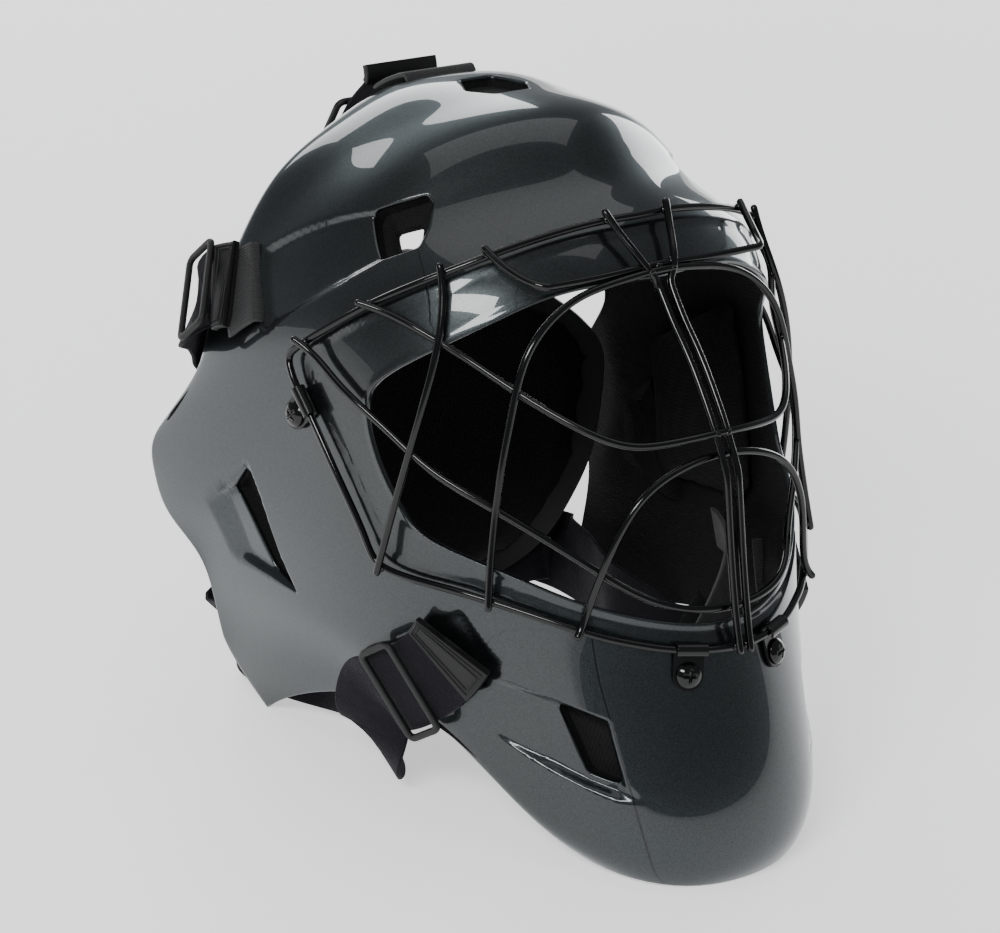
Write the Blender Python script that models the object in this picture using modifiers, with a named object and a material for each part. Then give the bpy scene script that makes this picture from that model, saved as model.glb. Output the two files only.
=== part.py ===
"""Floorball goalie mask: a glossy shell, a welded wire cage held by four clips, black padding,
and a back plate on five straps.

The mask is modelled as it is worn: it faces -Y, +Z is up, and it is symmetric about X = 0.
An empty then tips it back until the chin and the two rear corners of the shell carry it, so
that the world frame is the one in which the mask rests on a surface, with z = 0 under it.
Lengths are in metres. Tables hold shares of HALF_WIDTH (x), REACH (y) and RISE (z).
"""

import math

import bmesh
import bpy
import numpy as np
from mathutils import Matrix, Vector

HALF_WIDTH = 0.113
REACH = 0.115
RISE = 0.165
SHELL_WALL = 0.0030
GAP = 0.0003

WIRE_DIAMETER = 0.0030
FRAME_LIFT = 0.0039
WELD_SINK = 0.0004
WIRE_TIP = 0.0018
WIRE_CLEARANCE = 0.0020
WIRE_STEP = 0.014

CLIP_WIDTH = 0.0125
CLIP_SHEET = 0.0010
CLIP_CLEARANCE = 0.0004
CLIP_REACH = 0.0100
CLIP_FOOT = 0.0010
CLIP_SPARE = 0.0020
SCREW_HEAD_RADIUS = 0.0050
SCREW_HEAD_HEIGHT = 0.0026
SCREW_RADIUS = 0.0019
SCREW_CLEARANCE = 0.0003
CROSS_REACH = 0.00275
CROSS_HALF_WIDTH = 0.0006
CROSS_DEPTH = 0.0014

PAD_THICKNESS = 0.0120
CHEEK_PAD_THICKNESS = 0.0140
PLATE_WALL = 0.0030
PLATE_PAD_THICKNESS = 0.0100
PAD_GAP = 0.0010
PLATE_RADIUS = 0.122
PLATE_PAD_INSET = 0.004

STRAP_WIDTH = 0.0350
STRAP_THICKNESS = 0.0022
STRAP_CLEARANCE = 0.0008
SLOT_CLEARANCE = 0.0008
SLOT_DEPTH = 0.0130
ANCHOR_TAIL = 0.0040
ANCHOR_BEND = 0.0005
ANCHOR_STEP_OUT = 0.0012
RING_BAR = 0.0030
RING_THICKNESS = 0.0024
RING_LIFT = 0.0006
RING_REACH = 0.0210

HOLE_DEPTH = 0.0300
MERGE_DISTANCE = 0.00001
SPOKES = 28
RINGS = 11
PAD_POINTS = 7
TURN_HALVINGS = 40

# The shell's sections, from the lower edge up over the face to the rear edge of the crown.
# Each row: name, then six (x, y, z) points from the middle of the mask round to its rim.
SECTIONS = (
    ("lower_edge", (0, -.930, -1.005), (.320, -.845, -.970), (.530, -.575, -.830),
     (.700, -.320, -.565), (.780, .260, -.480), (.805, .750, -.550)),
    ("chin_low", (0, -1.035, -.880), (.370, -.915, -.840), (.610, -.590, -.735),
     (.760, -.175, -.485), (.825, .365, -.400), (.825, .845, -.435)),
    ("chin_mid", (0, -1.060, -.680), (.400, -.905, -.640), (.645, -.565, -.560),
     (.825, -.085, -.365), (.865, .435, -.305), (.850, .860, -.350)),
    ("chin_top", (0, -1.060, -.450), (.425, -.885, -.400), (.710, -.550, -.335),
     (.865, -.085, -.255), (.905, .450, -.205), (.885, .825, -.240)),
    ("jaw", (0, -1.070, -.210), (.460, -.885, -.170), (.770, -.540, -.120),
     (.910, -.085, -.105), (.940, .450, -.085), (.930, .815, -.120)),
    ("cheek", (0, -1.050, .060), (.495, -.860, .075), (.825, -.505, .085),
     (.940, -.085, .075), (.975, .435, .035), (.980, .895, -.010)),
    ("eye", (0, -.985, .335), (.515, -.815, .335), (.840, -.480, .305),
     (.945, -.070, .265), (.990, .450, .170), (1.000, .915, .095)),
    ("brow", (0, -.835, .570), (.460, -.750, .545), (.770, -.485, .495),
     (.910, -.120, .425), (.975, .415, .305), (1.000, .885, .180)),
    ("forehead", (0, -.680, .690), (.405, -.555, .665), (.700, -.350, .610),
     (.865, -.015, .520), (.945, .415, .390), (.975, .750, .255)),
    ("ridge", (0, -.565, .835), (.335, -.460, .810), (.620, -.250, .740),
     (.805, .070, .625), (.910, .400, .475), (.945, .625, .315)),
    ("crown_front", (0, -.280, .915), (.285, -.210, .895), (.530, -.050, .835),
     (.725, .175, .720), (.865, .415, .560), (.920, .575, .375)),
    ("crown", (0, .050, .975), (.250, .070, .960), (.480, .155, .895),
     (.675, .295, .790), (.825, .435, .610), (.895, .520, .450)),
    ("rear_edge", (0, .435, .945), (.250, .425, .910), (.460, .410, .835),
     (.635, .410, .725), (.780, .425, .610), (.865, .460, .510)),
)

# The face opening and the shell's outer rim, spoke by spoke from the brow down to the chin.
# Columns: section and way round of the opening's edge, then the same of the rim.
OPENING = (
    (6.42, .00, 12.0, .00), (6.44, .08, 12.0, .24), (6.42, .16, 12.0, .46),
    (6.29, .25, 12.0, .70), (6.15, .35, 12.0, .90), (5.98, .43, 10.0, 1.0),
    (5.65, .457, 7.60, 1.0), (5.10, .460, 5.60, 1.0), (4.60, .450, 3.80, 1.0),
    (4.20, .425, 2.00, 1.0), (3.92, .36, .00, .97), (3.68, .28, .00, .78),
    (3.50, .21, .00, .58), (3.36, .11, .00, .32), (3.33, .00, .00, .00),
)

# The cage's frame runs on the shell round the opening. Columns: section, way round.
FRAME = (
    (7.03, .00), (7.05, .08), (7.03, .20), (6.98, .31), (6.92, .44), (6.80, .57), (6.70, .62),
    (6.45, .613), (6.22, .597), (5.74, .562), (5.05, .537), (4.30, .520), (3.87, .505), (3.66, .43),
    (3.50, .343), (3.25, .223), (3.15, .160), (3.10, .106), (3.08, .046), (3.075, .00),
)

# The cage's other wires. First the section and way round at which a wire is welded on the
# frame, then its (x, y, z) points. The first table's wires run on to the other side.
MIRRORED_WIRES = {
    "visor": ((7.03, .235), ((.512, -.858, .492), (.478, -.915, .470), (.430, -.921, .466),
              (.240, -.922, .465), (0, -.921, .466))),
    "smile_high": ((6.92, .450), ((.712, -.628, .370), (.572, -.840, .228), (.403, -1.022, .106),
                   (.235, -1.092, .066), (0, -1.106, .058))),
    "smile_low": ((6.78, .590), ((.757, -.372, .217), (.593, -.615, .020), (.487, -.800, -.122),
                  (.360, -.970, -.250), (.195, -1.062, -.320), (0, -1.084, -.339))),
    "arch_high": ((3.50, .343), ((.668, -.745, -.005), (.617, -.813, .170), (.537, -.870, .326),
                  (.363, -.909, .420), (.180, -.918, .442), (0, -.919, .447))),
    "arch_low": ((3.25, .223), ((.468, -.935, -.255), (.416, -1.018, -.144), (.319, -1.085, -.045),
                 (.165, -1.122, .006), (0, -1.131, .020))),
}
PAIRED_WIRES = {
    "upright": ((7.05, .049), ((.045, -.940, .446), (.026, -.952, .405), (.025, -1.045, .281),
                (.025, -1.115, .150), (.025, -1.166, .010), (.025, -1.172, -.062),
                (.025, -1.140, -.228)), (3.07, .010)),
    "cheek_wire": ((6.97, .312), ((.743, -.655, .384), (.828, -.575, .191)), (3.87, .505)),
}

# Vents and strap slots, as corners on the shell. Columns of each corner: section, way round.
VENTS = {
    "temple_vent": ((8.58, .420), (8.46, .298), (8.28, .292), (7.70, .335), (7.72, .415)),
    "ear_vent": ((5.30, .745), (5.00, .845), (3.50, .765), (3.15, .725)),
    "jaw_vent": ((2.44, .300), (2.28, .225), (1.64, .225), (1.75, .280)),
    "crown_vent": ((10.03, .048), (10.30, .095), (10.70, .052), (10.70, -.052), (10.30, -.095), (10.03, -.048)),
}

# Straps, from the free end with its label, over the shell's rim, to the back plate. Columns of
# the first points: section, way round and lift off the shell. Then (x, y, z) of the free run,
# and x and z of the end on the back plate.
STRAPS = {
    "upper_strap": (((9.20, .740, .0055), (9.60, .790, .0055), (10.00, .845, .0058), (10.35, .905, .0062)),
                    ((.825, .722, .490), (.708, .915, .450)), (.450, .385)),
    "lower_strap": (((2.96, .425, .0055), (2.30, .500, .0055), (1.40, .590, .0058), (.55, .680, .0062)),
                    ((.779, .043, -.590), (.676, .174, -.578), (.650, .435, -.472), (.740, .678, -.408),
                     (.765, .925, -.342)), (.530, -.300)),
}
TOP_STRAP = ((0, .405, 1.030), (0, .410, .995), (0, .455, .975), (0, .560, .935), (0, .700, .850),
             (0, .860, .720))
TOP_STRAP_END = (0, .470)

# How far along its strap each ring lies from the free end.
STRAP_STEP = 0.009
RING_PLACES = {"upper_strap": 0.018, "lower_strap": 0.036, "top_strap": 0.036}

# Each anchor passes through its slot in the shell and runs under the strap. Columns: section
# and way round of the slot, and of the anchor's end.
ANCHORS = {
    "upper_anchor": ((8.90, .690), (9.25, .785)),
    "lower_anchor": ((2.50, .478), (1.80, .550)),
}
TOP_ANCHOR = ((11.30, 0), (11.85, 0))

# The back plate's outline. Columns: height share, half width share.
PLATE_ROWS = (
    (-.385, .30), (-.360, .50), (-.295, .66), (-.205, .77), (-.080, .87), (.080, .93), (.220, .93),
    (.360, .78), (.470, .54), (.530, .30),
)
PLATE_BACK = 1.09
PLATE_MIDDLE = .05
PLATE_FLATNESS = 2.5

# How a strap's end lies on the plate: the nearer the plate's edge, the more it stands off.
# Columns: how far it is ahead of the end's middle, lift.
PLATE_LAY = ((.012, .0030), (.004, .0012), (-.004, .0003), (-.012, 0))
TOP_STRAP_LAP = (.010, -.008)

# Pads. Columns: lowest and highest section, nearest and farthest way round, thickness.
PADS = {
    "brow_pad": (6.62, 8.90, -.270, .270, PAD_THICKNESS),
    "crown_pad": (9.60, 11.10, -.300, .300, PAD_THICKNESS),
    "cheek_pad": (3.30, 6.30, .500, .770, CHEEK_PAD_THICKNESS),
}

CHIN_STRAP_WIDTH = 0.0180
CHIN_STRAP_ROUTE = ((.788, -.060, -.270), (.560, -.420, -.330), (.290, -.660, -.400), (.120, -.740, -.470),
                    (0, -.760, -.490))
CHIN_CUP_THICKNESS = 0.0060
CHIN_CUP_CLEARANCE = 0.0015
CHIN_CUP_REACH = .300
CHIN_CUP_WIDTH = 0.0270
CHIN_STRAP_LEAN = .25
CHIN_STRAP_POINTS = 25


def clear_scene():
    """Remove whatever the file already holds."""
    for thing in list(bpy.data.objects):
        bpy.data.objects.remove(thing, do_unlink=True)


def scaled(share):
    """Turn shares of the mask's half width, reach and rise into a point in metres."""
    return np.asarray(share, float) * (HALF_WIDTH, REACH, RISE)


def spline_weights(count, place):
    """Weights of the smooth cubic through `count` evenly spaced points, at each `place`."""
    bends = np.zeros((count, count))
    pulls = np.zeros((count, count))
    for row in range(1, count - 1):
        bends[row, row - 1:row + 2] = (1, 4, 1)
        pulls[row, row - 1:row + 2] = (6, -12, 6)
    bends[0, :3] = (1, -2, 1)
    bends[-1, -3:] = (1, -2, 1)
    curvature = np.linalg.solve(bends, pulls)
    place = np.asarray(place, float)
    low = np.clip(np.floor(place).astype(int), 0, count - 2)
    high_part = place - low
    low_part = 1 - high_part
    straight = low_part[..., None] * np.eye(count)[low] + high_part[..., None] * np.eye(count)[low + 1]
    bent_low = ((low_part ** 3 - low_part) / 6)[..., None] * curvature[low]
    bent_high = ((high_part ** 3 - high_part) / 6)[..., None] * curvature[low + 1]
    return straight + bent_low + bent_high


def smooth_line(points, samples):
    """A smooth line of `samples` points through the given ones."""
    points = np.asarray(points, float)
    return spline_weights(len(points), np.linspace(0, len(points) - 1, samples)) @ points


def section_points():
    """The sections as an array: each from the right rim across the middle to the left rim."""
    left = np.array([scaled(row[1:]) for row in SECTIONS])
    right = left[:, :0:-1] * (-1, 1, 1)
    return np.concatenate([right, left], axis=1)


SECTION_POINTS = section_points()


def shell_point(section, way):
    """The outer surface at a section number and a way round, from -1 to 1."""
    section, way = np.broadcast_arrays(np.asarray(section, float), np.asarray(way, float))
    across = SECTION_POINTS.shape[1]
    down = spline_weights(SECTION_POINTS.shape[0], section)
    round_ = spline_weights(across, (way + 1) * (across - 1) / 2)
    return np.einsum("...i,...j,ijk->...k", down, round_, SECTION_POINTS)


def shell_normal(section, way):
    """The outward normal of the outer surface."""
    step = 0.01
    up = shell_point(np.asarray(section) + step, way) - shell_point(np.asarray(section) - step, way)
    left = shell_point(section, np.asarray(way) + step) - shell_point(section, np.asarray(way) - step)
    normal = np.cross(left, up)
    return normal / np.linalg.norm(normal, axis=-1, keepdims=True)


def on_shell(section, way, lift=0.0):
    """A point `lift` above the shell's outer surface."""
    return shell_point(section, way) + np.asarray(lift)[..., None] * shell_normal(section, way)


def make_material(name, colour, roughness, metallic=0.0, coat=0.0):
    """A plain surface with the part's colour."""
    material = bpy.data.materials.new(name)
    material.use_nodes = True
    surface = material.node_tree.nodes["Principled BSDF"]
    surface.inputs["Base Color"].default_value = (*colour, 1)
    surface.inputs["Roughness"].default_value = roughness
    surface.inputs["Metallic"].default_value = metallic
    surface.inputs["Coat Weight"].default_value = coat
    return material


def make_collections():
    """One collection for the mask's parts and one for the shapes that cut them."""
    parts = bpy.data.collections.new("goalie_mask")
    cutters = bpy.data.collections.new("cutters")
    bpy.context.scene.collection.children.link(parts)
    bpy.context.scene.collection.children.link(cutters)
    return parts, cutters


clear_scene()
PARTS, CUTTERS = make_collections()
PAINT = make_material("metallic_grey_paint", (.065, .085, .092), .32, .6, 1.0)
BLACK_METAL = make_material("black_coated_steel", (.012, .012, .013), .25, .3, .6)
FOAM = make_material("black_foam", (.010, .010, .011), .90)
WEBBING = make_material("black_webbing", (.014, .013, .017), .85)
BLACK_PLASTIC = make_material("black_plastic", (.015, .015, .016), .45)


def add_mesh(name, vertices, faces, material, collection=None):
    """A mesh object from points and faces, shaded smooth."""
    mesh = bpy.data.meshes.new(name)
    mesh.from_pydata([tuple(v) for v in vertices], [], faces)
    mesh.update()
    made = bpy.data.objects.new(name, mesh)
    if material:
        mesh.materials.append(material)
    (collection or PARTS).objects.link(made)
    shade(made)
    return made


def shade(made, angle=40):
    """Shade smooth but keep edges sharper than `angle` degrees."""
    made.data.shade_smooth()
    made.data.set_sharp_from_angle(angle=math.radians(angle))


def grid_faces(rows, columns, offset=0, flip=False):
    """Quads of a grid whose points are stored row by row."""
    faces = []
    for row in range(rows - 1):
        for column in range(columns - 1):
            corner = offset + row * columns + column
            face = (corner, corner + 1, corner + columns + 1, corner + columns)
            faces.append(face[::-1] if flip else face)
    return faces


def mirrored(made):
    """Mirror a half that is open at X = 0."""
    mirror = made.modifiers.new("both_sides", "MIRROR")
    mirror.use_axis[0] = True
    mirror.merge_threshold = 0.0001
    return made


def thickened(made, wall, offset):
    """Give an open surface a wall."""
    solid = made.modifiers.new("wall", "SOLIDIFY")
    solid.thickness = wall
    solid.offset = offset
    return made


def flip_x(points):
    """The same points on the other side of the mask."""
    return np.asarray(points) * (-1, 1, 1)


def as_cutter(made):
    """Keep a shape out of the model: it only cuts."""
    made.hide_render = True
    made.display_type = "WIRE"
    return made


def boolean(made, other, operation="DIFFERENCE"):
    """Cut `made` with `other`, or keep what they share."""
    cut = made.modifiers.new(other.name, "BOOLEAN")
    cut.operation = operation
    cut.solver = "EXACT"
    cut.object = other
    return made


def recalculated(made):
    """Point every face of a closed mesh outward."""
    work = bmesh.new()
    work.from_mesh(made.data)
    bmesh.ops.recalc_face_normals(work, faces=work.faces)
    if work.calc_volume(signed=True) < 0:
        bmesh.ops.reverse_faces(work, faces=work.faces)
    work.to_mesh(made.data)
    work.free()
    return made


def prism(name, outline, direction, out, deep):
    """A straight cutter: `outline` swept from `out` above it to `deep` below it."""
    outline = np.asarray(outline)
    direction = np.asarray(direction)
    count = len(outline)
    vertices = np.concatenate([outline + out * direction, outline - deep * direction])
    faces = [tuple(range(count)), tuple(range(2 * count - 1, count - 1, -1))]
    for corner in range(count):
        following = (corner + 1) % count
        faces.append((corner, corner + count, following + count, following))
    return as_cutter(recalculated(add_mesh(name, vertices, faces, None, CUTTERS)))


def to_world(axis_x, axis_y, axis_z, origin):
    """The matrix of a frame given by its axes and origin."""
    matrix = Matrix.Identity(4)
    for column, axis in enumerate((axis_x, axis_y, axis_z, origin)):
        for row in range(3):
            matrix[row][column] = float(axis[row])
    return matrix


def unit(vector):
    """The vector at length one."""
    vector = np.asarray(vector, float)
    return vector / np.linalg.norm(vector)


def curve_mesh(name, curve, matrix, material):
    """Turn a curve into a welded mesh object at `matrix`."""
    holder = bpy.data.objects.new(name + "_curve", curve)
    PARTS.objects.link(holder)
    graph = bpy.context.evaluated_depsgraph_get()
    mesh = bpy.data.meshes.new_from_object(holder.evaluated_get(graph))
    bpy.data.objects.remove(holder, do_unlink=True)
    work = bmesh.new()
    work.from_mesh(mesh)
    bmesh.ops.remove_doubles(work, verts=work.verts, dist=MERGE_DISTANCE)
    bmesh.ops.transform(work, matrix=matrix, verts=work.verts)
    bmesh.ops.recalc_face_normals(work, faces=work.faces)
    work.to_mesh(mesh)
    work.free()
    mesh.materials.clear()
    mesh.materials.append(material)
    made = bpy.data.objects.new(name, mesh)
    PARTS.objects.link(made)
    shade(made)
    return made


def plate_curve(name, outlines, thickness):
    """A flat plate whose outlines are closed 2D point lists."""
    curve = bpy.data.curves.new(name, "CURVE")
    curve.dimensions = "2D"
    curve.fill_mode = "BOTH"
    curve.extrude = thickness / 2
    for outline in outlines:
        spline = curve.splines.new("POLY")
        spline.points.add(len(outline) - 1)
        spline.use_cyclic_u = True
        for point, (x, y) in zip(spline.points, outline):
            point.co = (x, y, 0, 1)
    return curve


def arc(centre, radius, start, end, steps):
    """Points on an arc, angles in degrees."""
    angles = np.radians(np.linspace(start, end, steps + 1))
    return [(centre[0] + radius * math.cos(a), centre[1] + radius * math.sin(a)) for a in angles]


def shell_spots(spokes, rings):
    """Section and way of the shell's points: spokes from the opening's edge to the rim."""
    rows = np.array(OPENING)
    place = np.linspace(0, len(rows) - 1, spokes + 1)
    edge = spline_weights(len(rows), place) @ rows[:, :2]
    low = np.minimum(place.astype(int), len(rows) - 2)
    part = (place - low)[:, None]
    rim = rows[low, 2:] * (1 - part) + rows[low + 1, 2:] * part
    edge[(0, -1), 1] = 0
    along = np.linspace(0, 1, rings + 1)[None, :, None]
    return edge[:, None] * (1 - along) + rim[:, None] * along


def make_shell():
    """The shell: an open surface with a wall."""
    spots = shell_spots(SPOKES, RINGS)
    points = shell_point(spots[..., 0], spots[..., 1]).reshape(-1, 3)
    shell = add_mesh("shell", points, grid_faces(SPOKES + 1, RINGS + 1, flip=True), PAINT)
    mirrored(shell)
    thickened(shell, SHELL_WALL, -1)
    return shell


def cut_vents(shell):
    """Cut each vent through the wall, on both sides."""
    for name, corners in VENTS.items():
        corners = np.array(corners)
        outline = shell_point(corners[:, 0], corners[:, 1])
        direction = unit(shell_normal(corners[:, 0], corners[:, 1]).mean(axis=0))
        sides = (("left", 1), ("right", -1))
        for side, mirror in sides[:1] if corners[:, 1].min() < 0 else sides:
            turn = np.array((mirror, 1, 1))
            cutter = prism(f"{name}_{side}_cut", outline * turn, direction * turn, HOLE_DEPTH / 2, HOLE_DEPTH / 2)
            boolean(shell, cutter)


def wire_curve(name, points, closed=False):
    """A round wire through the given points, with filled ends."""
    curve = bpy.data.curves.new(name, "CURVE")
    curve.dimensions = "3D"
    curve.bevel_depth = WIRE_DIAMETER / 2
    curve.bevel_resolution = 1
    curve.use_fill_caps = True
    spline = curve.splines.new("POLY")
    spline.points.add(len(points) - 1)
    spline.use_cyclic_u = closed
    for point, place in zip(spline.points, points):
        point.co = (*place, 1)
    return curve


def frame_line():
    """The closed line of the cage's frame, lifted off the shell."""
    rows = np.array(FRAME)
    half = on_shell(rows[:, 0], rows[:, 1], FRAME_LIFT)
    half[(0, -1), 0] = 0
    return np.concatenate([half, flip_x(half[-2:0:-1])])


def wire_samples(points):
    """How many points a wire needs."""
    length = np.linalg.norm(np.diff(np.asarray(points), axis=0), axis=1).sum()
    return max(4, int(length / WIRE_STEP) + 1)


def weld_point(section, way):
    """The middle of a wire welded on the outside of the frame, near this place on the shell."""
    line = frame_line()
    following = np.roll(line, -1, axis=0)
    shares = np.linspace(0, 1, 20, endpoint=False)[:, None, None]
    dense = (line * (1 - shares) + following * shares).reshape(-1, 3)
    spot = on_shell(section, way, FRAME_LIFT)
    nearest = dense[np.argmin(np.linalg.norm(dense - spot, axis=1))]
    return nearest + shell_normal(section, way) * (WIRE_DIAMETER - WELD_SINK)


def with_tip(points):
    """Run the wire's first end a little past its weld."""
    tip = points[0] - unit(points[1] - points[0]) * WIRE_TIP
    return np.concatenate([[tip], points])


def clear_of_shell(points):
    """Push a wire's points outward until the wire clears the shell."""
    spots = shell_spots(4 * SPOKES, 4 * RINGS).reshape(-1, 2)
    wall = shell_point(spots[:, 0], spots[:, 1])
    normals = shell_normal(spots[:, 0], spots[:, 1])
    wall = np.concatenate([wall, flip_x(wall)])
    normals = np.concatenate([normals, flip_x(normals)])
    wanted = WIRE_DIAMETER / 2 + WIRE_CLEARANCE
    points = np.array(points)
    for _ in range(3):
        apart = points[:, None] - wall
        nearest = np.argmin(np.linalg.norm(apart, axis=2), axis=1)
        apart = apart[np.arange(len(points)), nearest]
        normal = normals[nearest]
        height = (apart * normal).sum(axis=1)
        aside = np.maximum((apart ** 2).sum(axis=1) - height ** 2, 0)
        least = np.sqrt(np.maximum(wanted ** 2 - aside, 0))
        points += normal * np.maximum(least - height, 0)[:, None]
    return points


def wire_lines():
    """The middle line of each wire across the frame."""
    lines = {}
    for name, (start, middle) in MIRRORED_WIRES.items():
        half = np.concatenate([[weld_point(*start)], scaled(middle)])
        full = np.concatenate([half, flip_x(half[-2::-1])])
        smooth = smooth_line(full, wire_samples(full) | 1)
        lines[name] = clear_of_shell(with_tip(with_tip(smooth)[::-1]))
    for name, (start, middle, end) in PAIRED_WIRES.items():
        points = np.concatenate([[weld_point(*start)], scaled(middle), [weld_point(*end)]])
        one = clear_of_shell(with_tip(with_tip(smooth_line(points, wire_samples(points)))[::-1]))
        lines[name + "_left"] = one
        lines[name + "_right"] = flip_x(one)
    return lines


def make_cage():
    """The cage is one welded piece: the frame and all the wires across it."""
    cage = curve_mesh("cage", wire_curve("cage", frame_line(), True), Matrix.Identity(4), BLACK_METAL)
    for name, points in wire_lines().items():
        wire = curve_mesh(name, wire_curve(name, points), Matrix.Identity(4), BLACK_METAL)
        PARTS.objects.unlink(wire)
        CUTTERS.objects.link(as_cutter(wire))
        boolean(cage, wire, "UNION")
    return cage


def clip_frame(section, way):
    """Where a clip sits: the middle of a straight stretch of the frame, its run and the normal."""
    line = frame_line()
    following = np.roll(line, -1, axis=0)
    middles = (line + following) / 2
    nearest = int(np.argmin(np.linalg.norm(middles - on_shell(section, way, FRAME_LIFT), axis=1)))
    run = unit(following[nearest] - line[nearest])
    normal = shell_normal(section, way)
    return middles[nearest], run, unit(normal - run * run.dot(normal))


# Where the cage's clips sit. Columns: section, way round, and whether the tab points down.
CLIPS = {
    "chin": (3.09, .075, True),
    "temple": (5.98, .580, False),
}


def clip_axes(section, way, down):
    """The clip's frame: along the wire, toward its screw, and away from the shell."""
    spot, run, normal = clip_frame(section, way)
    toward = unit(np.cross(normal, run))
    outward = np.array((0, 0, -1)) if down else np.array((0, 1, 0))
    if toward.dot(outward) < 0:
        toward = -toward
    return spot, np.cross(toward, normal), toward, normal


def make_clip(name, section, way, down, side):
    """A sheet clip: a ring round the frame wire, and a tab with a round end for the screw."""
    spot, run, toward, normal = clip_axes(section, way, down)
    hole = WIRE_DIAMETER / 2 + CLIP_CLEARANCE
    outer = hole + CLIP_SHEET
    reach = CLIP_REACH + CLIP_WIDTH / 2
    outline = arc((0, 0), outer, -90, -270 - 45, 8)
    outline += [(outer * math.cos(math.radians(45)) + CLIP_FOOT, -outer + CLIP_SHEET),
                (reach, -outer + CLIP_SHEET), (reach, -outer)]
    curve = plate_curve(name, [outline, arc((0, 0), hole, 0, 315, 7)], CLIP_WIDTH)
    turn = np.array((side, 1, 1))
    matrix = to_world(toward * turn, normal * turn, run * turn, spot * turn)
    clip = curve_mesh(name, curve, matrix, BLACK_METAL)
    half = CLIP_WIDTH / 2
    bore = SCREW_RADIUS + SCREW_CLEARANCE
    tab = [(-outer - CLIP_SPARE, -half), (CLIP_REACH, -half)] + arc((CLIP_REACH, 0), half, -75, 75, 6)
    tab += [(CLIP_REACH, half), (-outer - CLIP_SPARE, half)]
    keep = curve_mesh(name + "_round", plate_curve(name, [tab, arc((CLIP_REACH, 0), bore, 0, 315, 7)], 2 * CLIP_REACH),
                      to_world(toward * turn, run * turn, normal * turn, spot * turn), BLACK_METAL)
    PARTS.objects.unlink(keep)
    CUTTERS.objects.link(as_cutter(keep))
    return boolean(clip, keep, "INTERSECT")


def screw_place(section, way, down, side):
    """The point on the shell under a clip's screw, and its direction."""
    spot, run, toward, normal = clip_axes(section, way, down)
    turn = np.array((side, 1, 1))
    seat = spot + toward * CLIP_REACH - normal * FRAME_LIFT
    return seat * turn, run * turn, toward * turn, normal * turn


def make_screw(name, section, way, down, side, shell):
    """A pan head screw through the clip's tab and the shell's wall."""
    seat, run, toward, normal = screw_place(section, way, down, side)
    base = FRAME_LIFT - WIRE_DIAMETER / 2 - CLIP_CLEARANCE + GAP
    length = base + SHELL_WALL
    head = SCREW_HEAD_RADIUS
    rise = SCREW_HEAD_HEIGHT
    profile = [(0, rise), (.45 * head, .94 * rise), (.80 * head, .70 * rise), (head, .30 * rise), (head, 0),
               (SCREW_RADIUS, 0), (SCREW_RADIUS, -length), (0, -length)]
    mesh = bpy.data.meshes.new(name)
    mesh.from_pydata([(x, 0, z) for x, z in profile], [(i, i + 1) for i in range(len(profile) - 1)], [])
    mesh.materials.append(BLACK_METAL)
    screw = bpy.data.objects.new(name, mesh)
    PARTS.objects.link(screw)
    turned = screw.modifiers.new("turned", "SCREW")
    turned.steps = 10
    turned.render_steps = 10
    turned.use_merge_vertices = True
    turned.merge_threshold = MERGE_DISTANCE
    screw.matrix_world = to_world(toward, np.cross(normal, toward), normal, seat + normal * base)
    for turn, (long, thin) in enumerate(((CROSS_REACH, CROSS_HALF_WIDTH), (CROSS_HALF_WIDTH, CROSS_REACH))):
        corners = [(x, y, 0) for x, y in ((-long, -thin), (long, -thin), (long, thin), (-long, thin))]
        axes = np.array((toward, np.cross(normal, toward), normal)).T
        outline = [seat + normal * (base + rise) + axes @ np.array(c) for c in corners]
        boolean(screw, prism(f"{name}_cross_{turn}", outline, normal, CROSS_DEPTH, CROSS_DEPTH))
    bore = SCREW_RADIUS + SCREW_CLEARANCE
    axes = np.array((run, np.cross(normal, run))).T
    ring = [seat + axes @ (bore * math.cos(a), bore * math.sin(a)) for a in np.linspace(0, 2 * math.pi, 9)[:-1]]
    boolean(shell, prism(f"{name}_hole", ring, normal, HOLE_DEPTH / 3, HOLE_DEPTH / 3))
    return screw


def closed_slab(name, upper, lower, material):
    """A closed solid between two grids of points."""
    rows, columns = upper.shape[:2]
    count = rows * columns
    faces = grid_faces(rows, columns) + grid_faces(rows, columns, count, True)
    rim = [c for c in range(columns)]
    rim += [r * columns + columns - 1 for r in range(1, rows)]
    rim += [(rows - 1) * columns + c for c in range(columns - 2, -1, -1)]
    rim += [r * columns for r in range(rows - 2, 0, -1)]
    for i, corner in enumerate(rim):
        following = rim[(i + 1) % len(rim)]
        faces.append((corner, corner + count, following + count, following))
    points = np.concatenate([upper.reshape(-1, 3), lower.reshape(-1, 3)])
    return recalculated(add_mesh(name, points, faces, material))


def make_pad(name, low, high, near, far, thickness, side=1):
    """A foam pad that lies against the inside of the shell."""
    sections = np.linspace(low, high, PAD_POINTS)[:, None]
    ways = np.linspace(near, far, PAD_POINTS)[None]
    outer = on_shell(sections, ways, -SHELL_WALL - PAD_GAP)
    inner = on_shell(sections, ways, -SHELL_WALL - thickness)
    turn = np.array((side, 1, 1))
    return closed_slab(name, outer * turn, inner * turn, FOAM)


def plate_point(x, z, lift=0.0):
    """The back plate's inner surface, `lift` to its outside. x and z are in metres."""
    above = z - RISE * PLATE_MIDDLE
    upright_radius = PLATE_FLATNESS * PLATE_RADIUS
    y = PLATE_BACK * REACH - x ** 2 / (2 * PLATE_RADIUS) - above ** 2 / (2 * upright_radius)
    normal = np.stack([x / PLATE_RADIUS, np.ones_like(y), above / upright_radius], -1)
    normal /= np.linalg.norm(normal, axis=-1, keepdims=True)
    return np.stack(np.broadcast_arrays(x, y, z), -1) + lift * normal


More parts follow.
